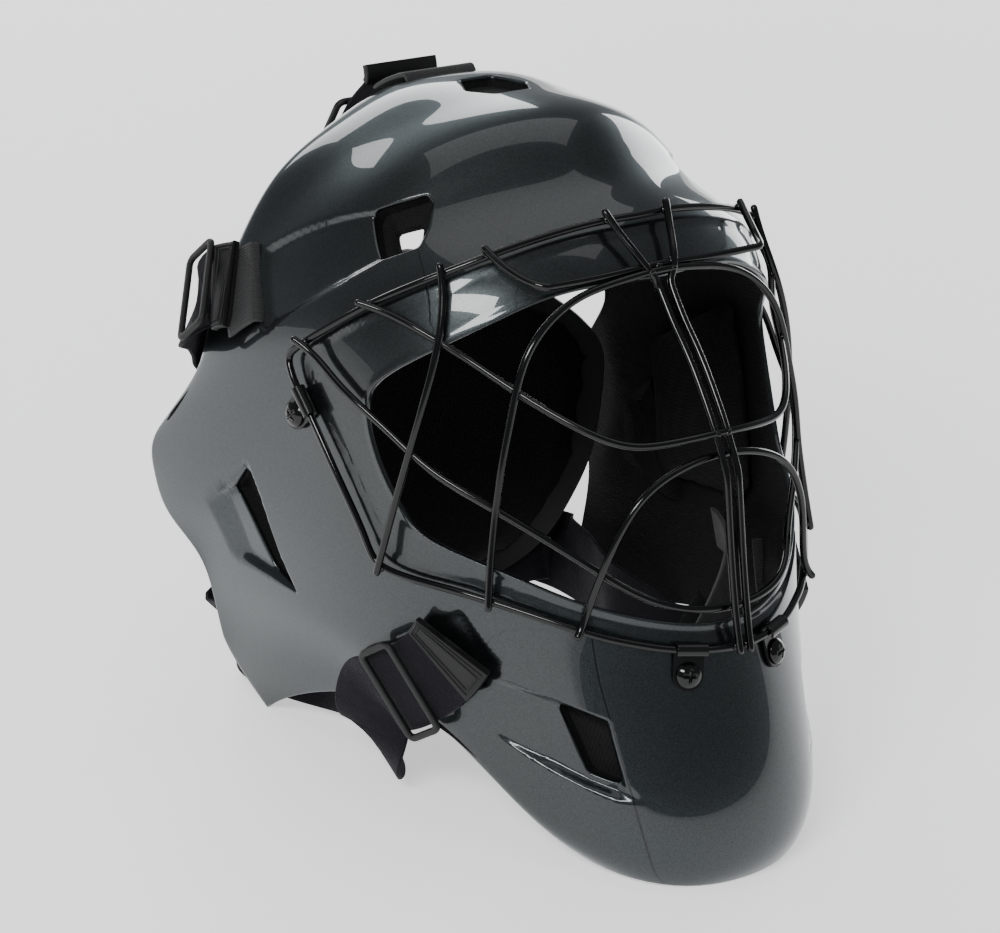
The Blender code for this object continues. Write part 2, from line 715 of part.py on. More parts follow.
def plate_grid(inset=0.0, columns=7, rows=10):
    """x and z over half of the plate, `inset` in from its edge."""
    table = np.array(PLATE_ROWS) * (RISE, HALF_WIDTH)
    outline = spline_weights(len(table), np.linspace(0, len(table) - 1, rows)) @ table
    low, high = outline[0, 0] + inset, outline[-1, 0] - inset
    z = low + (outline[:, 0] - outline[0, 0]) * (high - low) / (outline[-1, 0] - outline[0, 0])
    half = outline[:, 1] - inset
    x = half[:, None] * np.linspace(0, 1, columns)[None]
    return x, np.broadcast_to(z[:, None], x.shape)


def make_back_plate():
    """The hard plate behind the head."""
    x, z = plate_grid()
    points = plate_point(x, z).reshape(-1, 3)
    plate = add_mesh("back_plate", points, grid_faces(*x.shape), BLACK_PLASTIC)
    mirrored(plate)
    thickened(plate, PLATE_WALL, -1)
    return plate


def make_back_pad():
    """The foam on the inside of the back plate."""
    x, z = plate_grid(inset=PLATE_PAD_INSET)
    x = np.concatenate([-x[:, :0:-1], x], axis=1)
    z = np.concatenate([z[:, :0:-1], z], axis=1)
    return closed_slab("back_pad", plate_point(x, z, -PAD_GAP), plate_point(x, z, -PLATE_PAD_THICKNESS), FOAM)


def squared(points, across):
    """A strap's width directions, made square to its run and one long."""
    run = np.gradient(points, axis=0)
    run /= np.linalg.norm(run, axis=1, keepdims=True)
    across = across - run * (across * run).sum(axis=1, keepdims=True)
    return run, across / np.linalg.norm(across, axis=1, keepdims=True)


def ribbon(name, points, across, width, thickness, material):
    """A flat strap along `points`, whose width runs along `across` at each of them."""
    points = np.asarray(points)
    run, across = squared(points, np.asarray(across))
    face = np.cross(run, across)
    half = across * width / 2
    upper = np.stack([points - half, points + half], 1) + face[:, None] * thickness / 2
    lower = np.stack([points - half, points + half], 1) - face[:, None] * thickness / 2
    return closed_slab(name, upper, lower, material)


def plate_spot(x, z, lift=0.0):
    """The middle of a strap that lies on the back plate's outside."""
    return plate_point(np.array(x), np.array(z), PLATE_WALL + STRAP_CLEARANCE + STRAP_THICKNESS / 2 + lift)


def plate_spots(x, z):
    """Four of them along a strap's end; the one nearest the plate's edge stands off it."""
    return [plate_spot(x + ahead, z, lift) for ahead, lift in PLATE_LAY]


def plate_up(x, z):
    """The upward direction along the back plate."""
    return unit(plate_point(np.array(x), np.array(z + .001)) - plate_point(np.array(x), np.array(z - .001)))


def side_strap_path(on_rim, free, end):
    """A side strap's middle line and width directions, from its free end to the back plate."""
    on_rim = np.array(on_rim)
    points = list(on_shell(on_rim[:, 0], on_rim[:, 1], on_rim[:, 2]))
    normals = shell_normal(on_rim[:, 0], on_rim[:, 1])
    run = np.gradient(np.array(points), axis=0)
    across = [unit(np.cross(n, r)) for n, r in zip(normals, run)]
    x, z = end[0] * HALF_WIDTH, end[1] * RISE
    upright = plate_up(x, z) * (1 if across[-1][2] > 0 else -1)
    free = list(scaled(free))
    for count, spot in enumerate(free, 1):
        points.append(spot)
        share = count / (len(free) + 1)
        across.append(unit(across[len(on_rim) - 1] * (1 - share) + upright * share))
    ends = plate_spots(x, z)
    return np.array(points + ends), np.array(across + [upright] * len(ends))


def resampled(points, across):
    """A smooth strap through the given points, with a point every STRAP_STEP."""
    weights = spline_weights(len(points), np.linspace(0, len(points) - 1, 20 * len(points)))
    both = np.concatenate([weights @ points, weights @ across], axis=1)
    along = np.concatenate([[0], np.linalg.norm(np.diff(both[:, :3], axis=0), axis=1).cumsum()])
    steps = np.linspace(0, along[-1], int(along[-1] / STRAP_STEP) + 1)
    spaced = np.stack([np.interp(steps, along, column) for column in both.T], axis=1)
    return spaced[:, :3], spaced[:, 3:]


def anchor_frame(slot, end):
    """The slot's middle, its normal, the way the anchor runs and its width direction."""
    normal = shell_normal(*slot)
    ahead = shell_point(*end) - shell_point(*slot)
    ahead = unit(ahead - normal * ahead.dot(normal))
    return shell_point(*slot), normal, ahead, np.cross(normal, ahead)


def make_anchor(name, slot, end, side, shell):
    """A short webbing through a slot in the shell, which holds the strap's ring."""
    spot, normal, ahead, wide = anchor_frame(slot, end)
    lift = STRAP_CLEARANCE + STRAP_THICKNESS / 2
    points = [spot - normal * (SHELL_WALL + ANCHOR_TAIL), spot - normal * ANCHOR_BEND,
              spot + normal * lift + ahead * ANCHOR_STEP_OUT]
    for share in np.linspace(.25, 1, 5):
        where = np.array(slot) * (1 - share) + np.array(end) * share
        points.append(on_shell(*where, lift))
    turn = np.array((side, 1, 1))
    half_long = STRAP_WIDTH / 2 + SLOT_CLEARANCE
    half_wide = STRAP_THICKNESS / 2 + SLOT_CLEARANCE
    outline = [(spot + wide * a * half_long + ahead * b * half_wide) * turn
               for a, b in ((-1, -1), (1, -1), (1, 1), (-1, 1))]
    boolean(shell, prism(name + "_slot", outline, normal * turn, SLOT_DEPTH / 2, SLOT_DEPTH / 2))
    ribbon(name, np.array(points) * turn, np.tile(wide * turn, (len(points), 1)), STRAP_WIDTH,
           STRAP_THICKNESS, WEBBING)


def make_ring(name, points, across, place, outward, side):
    """A rectangular ring that lies on a strap, `place` along it."""
    where = round(place / STRAP_STEP)
    run, across = squared(points, across)
    near = [where - 1, where + 1]
    run = unit(points[where + 1] - points[where - 1])
    wide = across[near].mean(axis=0)
    wide = unit(wide - run * wide.dot(run))
    face = np.cross(run, wide)
    if face.dot(outward) < 0:
        wide, face = -wide, -face
    edges = [points[near] + turned * across[near] * STRAP_WIDTH / 2 for turned in (-1, 0, 1)]
    highest = ((np.concatenate(edges) - points[where]) @ face).max()
    centre = points[where] + face * (highest + STRAP_THICKNESS / 2 + RING_LIFT + RING_THICKNESS / 2)
    half_long = STRAP_WIDTH / 2 + RING_BAR + GAP * 2
    half_wide = RING_REACH / 2
    outline = [(-half_wide, -half_long), (half_wide, -half_long), (half_wide, half_long), (-half_wide, half_long)]
    inner = [(math.copysign(abs(x) - RING_BAR, x), math.copysign(abs(y) - RING_BAR, y)) for x, y in outline]
    turn = np.array((side, 1, 1))
    matrix = to_world(run * turn, wide * turn, face * turn, centre * turn)
    return curve_mesh(name, plate_curve(name, [outline, inner], RING_THICKNESS), matrix, BLACK_PLASTIC)


def make_straps(shell):
    """The five straps with their rings and anchors."""
    for name, (on_rim, free, end) in STRAPS.items():
        points, across = resampled(*side_strap_path(on_rim, free, end))
        anchor = name.replace("strap", "anchor")
        outward = shell_normal(on_rim[1][0], on_rim[1][1])
        for side_name, side in (("left", 1), ("right", -1)):
            turn = np.array((side, 1, 1))
            ribbon(f"{name}_{side_name}", points * turn, across * turn, STRAP_WIDTH, STRAP_THICKNESS, WEBBING)
            make_anchor(f"{anchor}_{side_name}", *ANCHORS[anchor], side, shell)
            make_ring(f"{name.replace('strap', 'ring')}_{side_name}", points, across, RING_PLACES[name], outward, side)
    end_x, end_z = TOP_STRAP_END
    points = list(scaled(TOP_STRAP)) + [plate_spot(end_x, end_z * RISE + up) for up in TOP_STRAP_LAP]
    points, across = resampled(np.array(points), np.tile((1.0, 0, 0), (len(points), 1)))
    ribbon("top_strap", points, across, STRAP_WIDTH, STRAP_THICKNESS, WEBBING)
    make_ring("top_ring", points, across, RING_PLACES["top_strap"], np.array((0, 1, 1)), 1)
    make_anchor("top_anchor", *TOP_ANCHOR, 1, shell)


def make_chin_strap():
    """The strap under the chin, from wall to wall, with its padded cup."""
    half = scaled(CHIN_STRAP_ROUTE)
    line = smooth_line(np.concatenate([half, flip_x(half[-2::-1])]), CHIN_STRAP_POINTS)
    across = np.tile((0, CHIN_STRAP_LEAN, 1.0), (len(line), 1))
    ribbon("chin_strap", line, across, CHIN_STRAP_WIDTH, STRAP_THICKNESS, WEBBING)
    inner = line[abs(line[:, 0]) < CHIN_CUP_REACH * HALF_WIDTH]
    inner = inner + (0, STRAP_THICKNESS / 2 + CHIN_CUP_CLEARANCE + CHIN_CUP_THICKNESS / 2, 0)
    ribbon("chin_cup", inner, across[:len(inner)], CHIN_CUP_WIDTH, CHIN_CUP_THICKNESS, FOAM)


def resting_pitch(points):
    """The pitch about X at which the chin and the rear corners touch the same surface."""
    front = points[points[:, 1] < 0]
    rear = points[points[:, 1] >= 0]
    low, high = 0.0, math.radians(60)
    for _ in range(TURN_HALVINGS):
        pitch = (low + high) / 2
        lean = np.array((math.sin(pitch), math.cos(pitch)))
        drop = [(part[:, 2] * lean[1] - part[:, 1] * lean[0]).min() for part in (front, rear)]
        if drop[0] < drop[1]:
            low = pitch
        else:
            high = pitch
    return pitch


def evaluated_points(made):
    """The points of an object as its modifiers leave it."""
    mesh = made.evaluated_get(bpy.context.evaluated_depsgraph_get()).to_mesh()
    return np.array([tuple(v.co) for v in mesh.vertices]) @ np.array(made.matrix_world.to_3x3()).T + (
        np.array(made.matrix_world.translation))


def rest_on_surface(shell):
    """Parent every part to an empty that tips the mask back until it rests, centred, at z = 0."""
    turn = Matrix.Rotation(-resting_pitch(evaluated_points(shell)), 4, "X")
    tipped = np.concatenate([evaluated_points(made) for made in PARTS.objects]) @ np.array(turn.to_3x3()).T
    middle = (tipped[:, 1].min() + tipped[:, 1].max()) / 2
    rest = bpy.data.objects.new("rest_pose", None)
    bpy.context.scene.collection.objects.link(rest)
    rest.matrix_world = Matrix.Translation((0, -middle, -tipped[:, 2].min())) @ turn
    for made in list(PARTS.objects) + list(CUTTERS.objects):
        made.parent = rest
    return rest


def main():
    """Build the mask."""
    shell = make_shell()
    cut_vents(shell)
    make_cage()
    for name, (section, way, down) in CLIPS.items():
        for side_name, side in (("left", 1), ("right", -1)):
            make_clip(f"clip_{name}_{side_name}", section, way, down, side)
            make_screw(f"screw_{name}_{side_name}", section, way, down, side, shell)
    make_pad("brow_pad", *PADS["brow_pad"])
    make_pad("crown_pad", *PADS["crown_pad"])
    for side_name, side in (("left", 1), ("right", -1)):
        make_pad(f"cheek_pad_{side_name}", *PADS["cheek_pad"], side=side)
    make_back_plate()
    make_back_pad()
    make_straps(shell)
    make_chin_strap()
    bpy.context.view_layer.update()
    rest_on_surface(shell)


main()
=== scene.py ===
"""A floorball goalie mask, dressed on its CAD frame.

Shapes are worked out in the mask's worn pose: it faces -Y, +Z is up, and it is symmetric about
X = 0. at_rest() then tips them back and sets them down as the CAD part rests. Lengths are in
metres. The tables of sections, wires and straps are those of the CAD source, in shares of
HALF_WIDTH (x), REACH (y) and RISE (z).
"""

import math

import bmesh
import bpy
import numpy as np
from mathutils import Matrix


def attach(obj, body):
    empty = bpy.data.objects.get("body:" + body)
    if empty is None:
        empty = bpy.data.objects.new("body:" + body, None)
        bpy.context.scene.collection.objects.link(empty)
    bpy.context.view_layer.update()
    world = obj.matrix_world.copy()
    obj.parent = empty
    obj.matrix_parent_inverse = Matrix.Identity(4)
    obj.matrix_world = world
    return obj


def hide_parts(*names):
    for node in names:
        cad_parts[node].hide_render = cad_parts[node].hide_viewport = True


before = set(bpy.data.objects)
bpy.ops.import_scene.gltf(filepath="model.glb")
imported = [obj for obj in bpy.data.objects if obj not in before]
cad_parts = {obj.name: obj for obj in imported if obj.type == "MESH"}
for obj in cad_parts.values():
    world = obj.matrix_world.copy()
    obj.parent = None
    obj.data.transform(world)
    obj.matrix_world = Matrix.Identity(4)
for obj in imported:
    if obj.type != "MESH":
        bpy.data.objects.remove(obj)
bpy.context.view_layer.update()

HALF_WIDTH = 0.113
REACH = 0.115
RISE = 0.165
SHELL_WALL = 0.0030

WIRE_DIAMETER = 0.0030
FRAME_LIFT = 0.0039
WELD_SINK = 0.0004
WIRE_TIP = 0.0018
WIRE_CLEARANCE = 0.0020

CLIP_WIDTH = 0.0125
CLIP_SHEET = 0.0010
CLIP_CLEARANCE = 0.0004
CLIP_REACH = 0.0100
SCREW_HEAD_RADIUS = 0.0050
SCREW_HEAD_HEIGHT = 0.0026

PAD_THICKNESS = 0.0120
CHEEK_PAD_THICKNESS = 0.0140
PLATE_WALL = 0.0030
PLATE_PAD_THICKNESS = 0.0100
PAD_GAP = 0.0010
PLATE_RADIUS = 0.122
PLATE_BACK = 1.09

STRAP_WIDTH = 0.0350
STRAP_THICKNESS = 0.0022
STRAP_CLEARANCE = 0.0008
STRAP_STEP = 0.009
RING_BAR = 0.0030
RING_LIFT = 0.0006
RING_REACH = 0.0210
GAP = 0.0003

CHIN_STRAP_WIDTH = 0.0180
CHIN_CUP_THICKNESS = 0.0060
CHIN_CUP_CLEARANCE = 0.0015
CHIN_CUP_REACH = .300

# How the mask rests: its tilt about X, and the shift that sets it down.
REST_TILT = math.radians(22.3748)
REST_SHIFT = (0, .009823, .112629)

# The camera, told in the worn pose: its distance from the middle of the mask, the direction
# back to it, and the picture's rightward direction.
CAMERA_AIM = (-.012, 0, 0)
CAMERA_DISTANCE = 1.5
CAMERA_BACK = (-.569, -.815, .110)
CAMERA_RIGHT = (.802, -.580, -.145)
CAMERA_LENS = 131.7

# How finely the shell is drawn: spokes round half of the opening, rings out to the rim.
SPOKES = 168
RINGS = 96
EDGE_RADIUS = 0.0011
EDGE_BULGE = 0.0006

# A step in section or way that is small beside the shell's curves.
SMALL_STEP = 0.01

# The finer spacing of straps, and of a wire's points.
FINE_STEP = 0.0015
WIRE_STEP = 0.0030

SIDES = (("left", 1), ("right", -1))

# The shell's sections, from the lower edge up over the face to the rear edge of the crown.
# Each row: name, then six (x, y, z) points from the middle of the mask round to its rim.
SECTIONS = (
    ("lower_edge", (0, -.930, -1.005), (.320, -.845, -.970), (.530, -.575, -.830),
     (.700, -.320, -.565), (.780, .260, -.480), (.805, .750, -.550)),
    ("chin_low", (0, -1.035, -.880), (.370, -.915, -.840), (.610, -.590, -.735),
     (.760, -.175, -.485), (.825, .365, -.400), (.825, .845, -.435)),
    ("chin_mid", (0, -1.060, -.680), (.400, -.905, -.640), (.645, -.565, -.560),
     (.825, -.085, -.365), (.865, .435, -.305), (.850, .860, -.350)),
    ("chin_top", (0, -1.060, -.450), (.425, -.885, -.400), (.710, -.550, -.335),
     (.865, -.085, -.255), (.905, .450, -.205), (.885, .825, -.240)),
    ("jaw", (0, -1.070, -.210), (.460, -.885, -.170), (.770, -.540, -.120),
     (.910, -.085, -.105), (.940, .450, -.085), (.930, .815, -.120)),
    ("cheek", (0, -1.050, .060), (.495, -.860, .075), (.825, -.505, .085),
     (.940, -.085, .075), (.975, .435, .035), (.980, .895, -.010)),
    ("eye", (0, -.985, .335), (.515, -.815, .335), (.840, -.480, .305),
     (.945, -.070, .265), (.990, .450, .170), (1.000, .915, .095)),
    ("brow", (0, -.835, .570), (.460, -.750, .545), (.770, -.485, .495),
     (.910, -.120, .425), (.975, .415, .305), (1.000, .885, .180)),
    ("forehead", (0, -.680, .690), (.405, -.555, .665), (.700, -.350, .610),
     (.865, -.015, .520), (.945, .415, .390), (.975, .750, .255)),
    ("ridge", (0, -.565, .835), (.335, -.460, .810), (.620, -.250, .740),
     (.805, .070, .625), (.910, .400, .475), (.945, .625, .315)),
    ("crown_front", (0, -.280, .915), (.285, -.210, .895), (.530, -.050, .835),
     (.725, .175, .720), (.865, .415, .560), (.920, .575, .375)),
    ("crown", (0, .050, .975), (.250, .070, .960), (.480, .155, .895),
     (.675, .295, .790), (.825, .435, .610), (.895, .520, .450)),
    ("rear_edge", (0, .435, .945), (.250, .425, .910), (.460, .410, .835),
     (.635, .410, .725), (.780, .425, .610), (.865, .460, .510)),
)

# The face opening and the shell's outer rim, spoke by spoke from the brow down to the chin.
# Columns: section and way round of the opening's edge, then the same of the rim.
OPENING = (
    (6.42, .00, 12.0, .00), (6.44, .08, 12.0, .24), (6.42, .16, 12.0, .46),
    (6.29, .25, 12.0, .70), (6.15, .35, 12.0, .90), (5.98, .43, 10.0, 1.0),
    (5.65, .457, 7.60, 1.0), (5.10, .460, 5.60, 1.0), (4.60, .450, 3.80, 1.0),
    (4.20, .425, 2.00, 1.0), (3.92, .36, .00, .97), (3.68, .28, .00, .78),
    (3.50, .21, .00, .58), (3.36, .11, .00, .32), (3.33, .00, .00, .00),
)

# The cage's frame runs on the shell round the opening. Columns: section, way round.
FRAME = (
    (7.03, .00), (7.05, .08), (7.03, .20), (6.98, .31), (6.92, .44), (6.80, .57), (6.70, .62),
    (6.45, .613), (6.22, .597), (5.74, .562), (5.05, .537), (4.30, .520), (3.87, .505), (3.66, .43),
    (3.50, .343), (3.25, .223), (3.15, .160), (3.10, .106), (3.08, .046), (3.075, .00),
)

# The cage's other wires. First the section and way round at which a wire is welded on the
# frame, then its (x, y, z) points. The first table's wires run on to the other side.
MIRRORED_WIRES = {
    "visor": ((7.03, .235), ((.512, -.858, .492), (.478, -.915, .470), (.430, -.921, .466),
              (.240, -.922, .465), (0, -.921, .466))),
    "smile_high": ((6.92, .450), ((.712, -.628, .370), (.572, -.840, .228), (.403, -1.022, .106),
                   (.235, -1.092, .066), (0, -1.106, .058))),
    "smile_low": ((6.78, .590), ((.757, -.372, .217), (.593, -.615, .020), (.487, -.800, -.122),
                  (.360, -.970, -.250), (.195, -1.062, -.320), (0, -1.084, -.339))),
    "arch_high": ((3.50, .343), ((.668, -.745, -.005), (.617, -.813, .170), (.537, -.870, .326),
                  (.363, -.909, .420), (.180, -.918, .442), (0, -.919, .447))),
    "arch_low": ((3.25, .223), ((.468, -.935, -.255), (.416, -1.018, -.144), (.319, -1.085, -.045),
                 (.165, -1.122, .006), (0, -1.131, .020))),
}
PAIRED_WIRES = {
    "upright": ((7.05, .049), ((.045, -.940, .446), (.026, -.952, .405), (.025, -1.045, .281),
                (.025, -1.115, .150), (.025, -1.166, .010), (.025, -1.172, -.062),
                (.025, -1.140, -.228)), (3.07, .010)),
    "cheek_wire": ((6.97, .312), ((.743, -.655, .384), (.828, -.575, .191)), (3.87, .505)),
}

# Vents, as corners on the shell. Columns of each corner: section, way round, corner radius.
VENTS = {
    "temple": ((8.57, .420, .0022), (8.62, .407, .0018), (8.47, .302, .0030), (8.30, .292, .0030),
               (7.95, .310, .0100), (7.68, .338, .0030), (7.72, .415, .0030)),
    "ear": ((5.40, .752, .0008), (5.14, .802, .0008), (3.43, .762, .0080), (3.10, .717, .0010),
            (4.08, .727, .0500)),
    "jaw": ((2.45, .300, .0025), (2.28, .223, .0030), (1.62, .223, .0030), (1.73, .280, .0025)),
    "crown": ((10.03, .048, .0030), (10.30, .095, .0040), (10.70, .052, .0030),
              (10.70, -.052, .0030), (10.30, -.095, .0040), (10.03, -.048, .0030)),
}

# Panels let into the shell. Columns: depth, the length over which the floor falls away from the
# edge between the first two corners, the slope of the other walls, and the corners' section and way.
PANELS = (
    (.0034, .0130, 1.1, ((5.04, .868), (3.74, .856), (3.02, .712), (5.46, .744))),
    (.0036, .0230, 1.1, ((2.60, .420), (1.88, .425), (1.40, .214), (2.33, .214), (2.52, .300))),
    (.0020, .0040, 1.3, ((9.60, .690), (7.62, .690), (7.66, .510), (7.74, .385), (8.55, .385))),
    (.0014, .0060, .7, ((2.44, .500), (3.14, .465), (3.37, .405), (2.67, .375), (2.44, .405))),
)
RIM_STEP = .0007
RIM_STEP_PLACE = .0042

# The foam behind each vent. Columns: depth of its face, the scale of the hole that it leaves open
# to the vent's outline, and the section and way round that the hole is scaled about.
VENT_FOAM = {
    "temple": (.0065, .50, (7.93, .350)),
    "ear": (.0060, .16, (5.02, .773)),
    "jaw": (.0065, .03, (2.00, .255)),
    "crown": (.0080, .50, (10.35, 0)),
}
FOAM_THICKNESS = 0.0040

# The patch of shell round a vent: how many cells it reaches past the vent, the spacing of its
# rings, how deep the foam's face is dished, and where the inner wall meets the foam.
VENT_MARGIN = 7
PATCH_STEP = 0.0012
FOAM_DISH = 0.0003
FOAM_RIM = 0.0010
INNER_RIM = 0.0040

# Straps, from the free end with its label, over the shell's rim, to the back plate. Columns of
# the first points: section, way round and lift off the shell. Then (x, y, z) of the free run,
# and x and z of the end on the back plate.
STRAPS = {
    "upper_strap": (((9.20, .740, .0055), (9.60, .790, .0055), (10.00, .845, .0058), (10.35, .905, .0062)),
                    ((.825, .722, .490), (.708, .915, .450)), (.450, .385)),
    "lower_strap": (((2.96, .425, .0055), (2.30, .500, .0055), (1.40, .590, .0058), (.55, .680, .0062)),
                    ((.779, .043, -.590), (.676, .174, -.578), (.650, .435, -.472), (.740, .678, -.408),
                     (.765, .925, -.342)), (.530, -.300)),
}
TOP_STRAP = ((0, .405, 1.030), (0, .410, .995), (0, .455, .975), (0, .560, .935), (0, .700, .850),
             (0, .860, .720))
TOP_STRAP_END = (0, .470)
RING_SPOTS = {"upper_strap": 2, "lower_strap": 4, "top_strap": 4}

# Each anchor passes through its slot in the shell and runs under the strap. Columns: section
# and way round of the slot, and of the anchor's end.
ANCHORS = {
    "upper_anchor": ((8.90, .690), (9.25, .785)),
    "lower_anchor": ((2.50, .478), (1.80, .550)),
}
TOP_ANCHOR = ((11.30, 0), (11.85, 0))

# The back plate's outline. Columns: height share, half width share.
PLATE_ROWS = (
    (-.385, .30), (-.360, .50), (-.295, .66), (-.205, .77), (-.080, .87), (.080, .93), (.220, .93),
    (.360, .78), (.470, .54), (.530, .30),
)

# Pads. Columns: lowest and highest section, nearest and farthest way round, thickness.
PADS = {
    "brow_pad": (6.62, 8.90, -.270, .270, PAD_THICKNESS),
    "crown_pad": (9.60, 11.10, -.300, .300, PAD_THICKNESS),
    "cheek_pad": (3.30, 6.30, .500, .770, CHEEK_PAD_THICKNESS),
}

CHIN_STRAP_ROUTE = ((.788, -.060, -.270), (.560, -.420, -.330), (.290, -.660, -.400),
                    (.120, -.740, -.470), (0, -.760, -.490))

# Where the cage's clips sit. Columns: section, way round, and whether the tab points down.
CLIPS = {
    "chin": (3.09, .075, True),
    "temple": (5.98, .580, False),
}

# Fine grooves in the shell's paint, darkened by painted shade. Columns of each point: section, way round.
SEAMS = {
    "chin_seam": ((3.18, .210), (2.73, .215), (2.33, .213), (1.45, .210), (.58, .205), (.10, .185)),
    "temple_seam": ((7.50, .343), (7.17, .345), (6.84, .342), (6.52, .335)),
    "jaw_seam": ((2.60, .365), (2.57, .345), (2.52, .320), (2.47, .300)),
}


# Lines and surfaces

def unit(vectors):
    """Vectors at length one."""
    vectors = np.asarray(vectors, float)
    return vectors / np.linalg.norm(vectors, axis=-1, keepdims=True)


def flip_x(points):
    """The same points on the other side of the mask."""
    return np.asarray(points) * (-1, 1, 1)


def scaled(share):
    """Turn shares of the mask's half width, reach and rise into a point in metres."""
    return np.asarray(share, float) * (HALF_WIDTH, REACH, RISE)


def smooth(low, high, value):
    """0 below low, 1 above high, and 3t^2 - 2t^3 between them."""
    share = np.clip((np.asarray(value, float) - low) / (high - low), 0, 1)
    return share * share * (3 - 2 * share)


def spline_weights(count, place):
    """Weights of the smooth cubic through `count` evenly spaced points, at each `place`."""
    bends = np.zeros((count, count))
    pulls = np.zeros((count, count))
    for row in range(1, count - 1):
        bends[row, row - 1:row + 2] = (1, 4, 1)
        pulls[row, row - 1:row + 2] = (6, -12, 6)
    bends[0, :3] = (1, -2, 1)
    bends[-1, -3:] = (1, -2, 1)
    curvature = np.linalg.solve(bends, pulls)
    place = np.asarray(place, float)
    low = np.clip(np.floor(place).astype(int), 0, count - 2)
    high_part = place - low
    low_part = 1 - high_part
    straight = low_part[..., None] * np.eye(count)[low] + high_part[..., None] * np.eye(count)[low + 1]
    bent_low = ((low_part ** 3 - low_part) / 6)[..., None] * curvature[low]
    bent_high = ((high_part ** 3 - high_part) / 6)[..., None] * curvature[low + 1]
    return straight + bent_low + bent_high


def smooth_line(points, samples):
    """A smooth line of `samples` points through the given ones."""
    points = np.asarray(points, float)
    return spline_weights(len(points), np.linspace(0, len(points) - 1, samples)) @ points


def smooth_loop(points, samples):
    """A smooth closed line of `samples` points through the given ones."""
    points = np.asarray(points, float)
    count = len(points)
    spare = 4
    padded = np.concatenate([points[-spare:], points, points[:spare + 1]])
    return spline_weights(len(padded), spare + np.linspace(0, count, samples, endpoint=False)) @ padded


def lengths_along(points):
    """How far along a line each of its points lies."""
    return np.concatenate([[0], np.linalg.norm(np.diff(points, axis=0), axis=1).cumsum()])


def spaced(points, step, extra=None):
    """The line with a point every `step`, and `extra` columns carried along."""
    along = lengths_along(points)
    places = np.linspace(0, along[-1], max(2, int(round(along[-1] / step)) + 1))
    columns = points if extra is None else np.concatenate([points, extra], axis=1)
    found = np.stack([np.interp(places, along, column) for column in columns.T], axis=1)
    return found if extra is None else (found[:, :3], found[:, 3:])


def section_points():
    """The sections as an array: each from the right rim across the middle to the left rim."""
    left = np.array([scaled(row[1:]) for row in SECTIONS])
    return np.concatenate([left[:, :0:-1] * (-1, 1, 1), left], axis=1)


SECTION_POINTS = section_points()


def shell_point(section, way):
    """The outer surface at a section number and a way round, from -1 to 1."""
    section, way = np.broadcast_arrays(np.asarray(section, float), np.asarray(way, float))
    shape = section.shape
    section, way = section.ravel(), way.ravel()
    across = SECTION_POINTS.shape[1]
    down = spline_weights(SECTION_POINTS.shape[0], section)
    round_ = spline_weights(across, (way + 1) * (across - 1) / 2)
    rows = np.einsum("ni,ijk->njk", down, SECTION_POINTS)
    return np.einsum("nj,njk->nk", round_, rows).reshape(*shape, 3)


def shell_normal(section, way):
    """The outward normal of the outer surface."""
    section, way = np.asarray(section), np.asarray(way)
    up = shell_point(section + SMALL_STEP, way) - shell_point(section - SMALL_STEP, way)
    left = shell_point(section, way + SMALL_STEP) - shell_point(section, way - SMALL_STEP)
    return unit(np.cross(left, up))


def way_sizes(middle):
    """Metres for one section, and for one whole way round, near a spot on the shell."""
    return np.array([np.linalg.norm(shell_point(*(middle + way)) - shell_point(*middle)) / SMALL_STEP
                     for way in ((SMALL_STEP, 0), (0, SMALL_STEP))])


def on_shell(section, way, lift=0.0):
    """A point `lift` above the shell's outer surface."""
    return shell_point(section, way) + np.asarray(lift)[..., None] * shell_normal(section, way)


def at_rest(points):
    """Worn points tipped back about X and set down on the floor."""
    sine, cosine = math.sin(REST_TILT), math.cos(REST_TILT)
    turn = np.array(((1, 0, 0), (0, cosine, sine), (0, -sine, cosine)))
    return np.asarray(points) @ turn.T + REST_SHIFT


# Meshes

def grid_quads(rows, columns, wrap_rows=False, wrap_columns=False, start=0):
    """Quads of a grid whose points are stored row by row."""
    row = np.arange(rows if wrap_rows else rows - 1)[:, None]
    column = np.arange(columns if wrap_columns else columns - 1)[None]
    next_row = (row + 1) % rows
    next_column = (column + 1) % columns
    corners = (row * columns + column, row * columns + next_column,
               next_row * columns + next_column, next_row * columns + column)
    return start + np.stack(np.broadcast_arrays(*corners), -1).reshape(-1, 4)


def make_piece(name, points, faces, finishes, stands_for=None, uv=None, sharp=40, amounts=None,
               which=None, slot=None):
    """A piece from worn points: set down at rest, faces outward, shaded smooth, riding on root."""
    mesh = bpy.data.meshes.new(name)
    mesh.from_pydata(at_rest(np.asarray(points).reshape(-1, 3)).tolist(), [], [tuple(f) for f in faces])
    for finish in finishes if isinstance(finishes, (list, tuple)) else [finishes]:
        mesh.materials.append(finish)
    if which is not None:
        mesh.polygons.foreach_set("material_index", np.asarray(which, np.int32))
    for label, values in (amounts or {}).items():
        held = mesh.attributes.new(label, "FLOAT", "POINT")
        held.data.foreach_set("value", np.asarray(values, np.float32).ravel())
    if uv is not None:
        corners = np.empty(len(mesh.loops), np.int32)
        mesh.loops.foreach_get("vertex_index", corners)
        layer = mesh.uv_layers.new(name="UVMap")
        layer.data.foreach_set("uv", np.asarray(uv, np.float32).reshape(-1, 2)[corners].ravel())
    work = bmesh.new()
    work.from_mesh(mesh)
    bmesh.ops.recalc_face_normals(work, faces=work.faces)
    if work.calc_volume(signed=True) < 0:
        bmesh.ops.reverse_faces(work, faces=work.faces)
    work.to_mesh(mesh)
    work.free()
    mesh.shade_smooth()
    mesh.set_sharp_from_angle(angle=math.radians(sharp))
    piece = bpy.data.objects.new(name, mesh)
    bpy.context.scene.collection.objects.link(piece)
    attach(piece, "root")
    if stands_for:
        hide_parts(stands_for)
    return piece


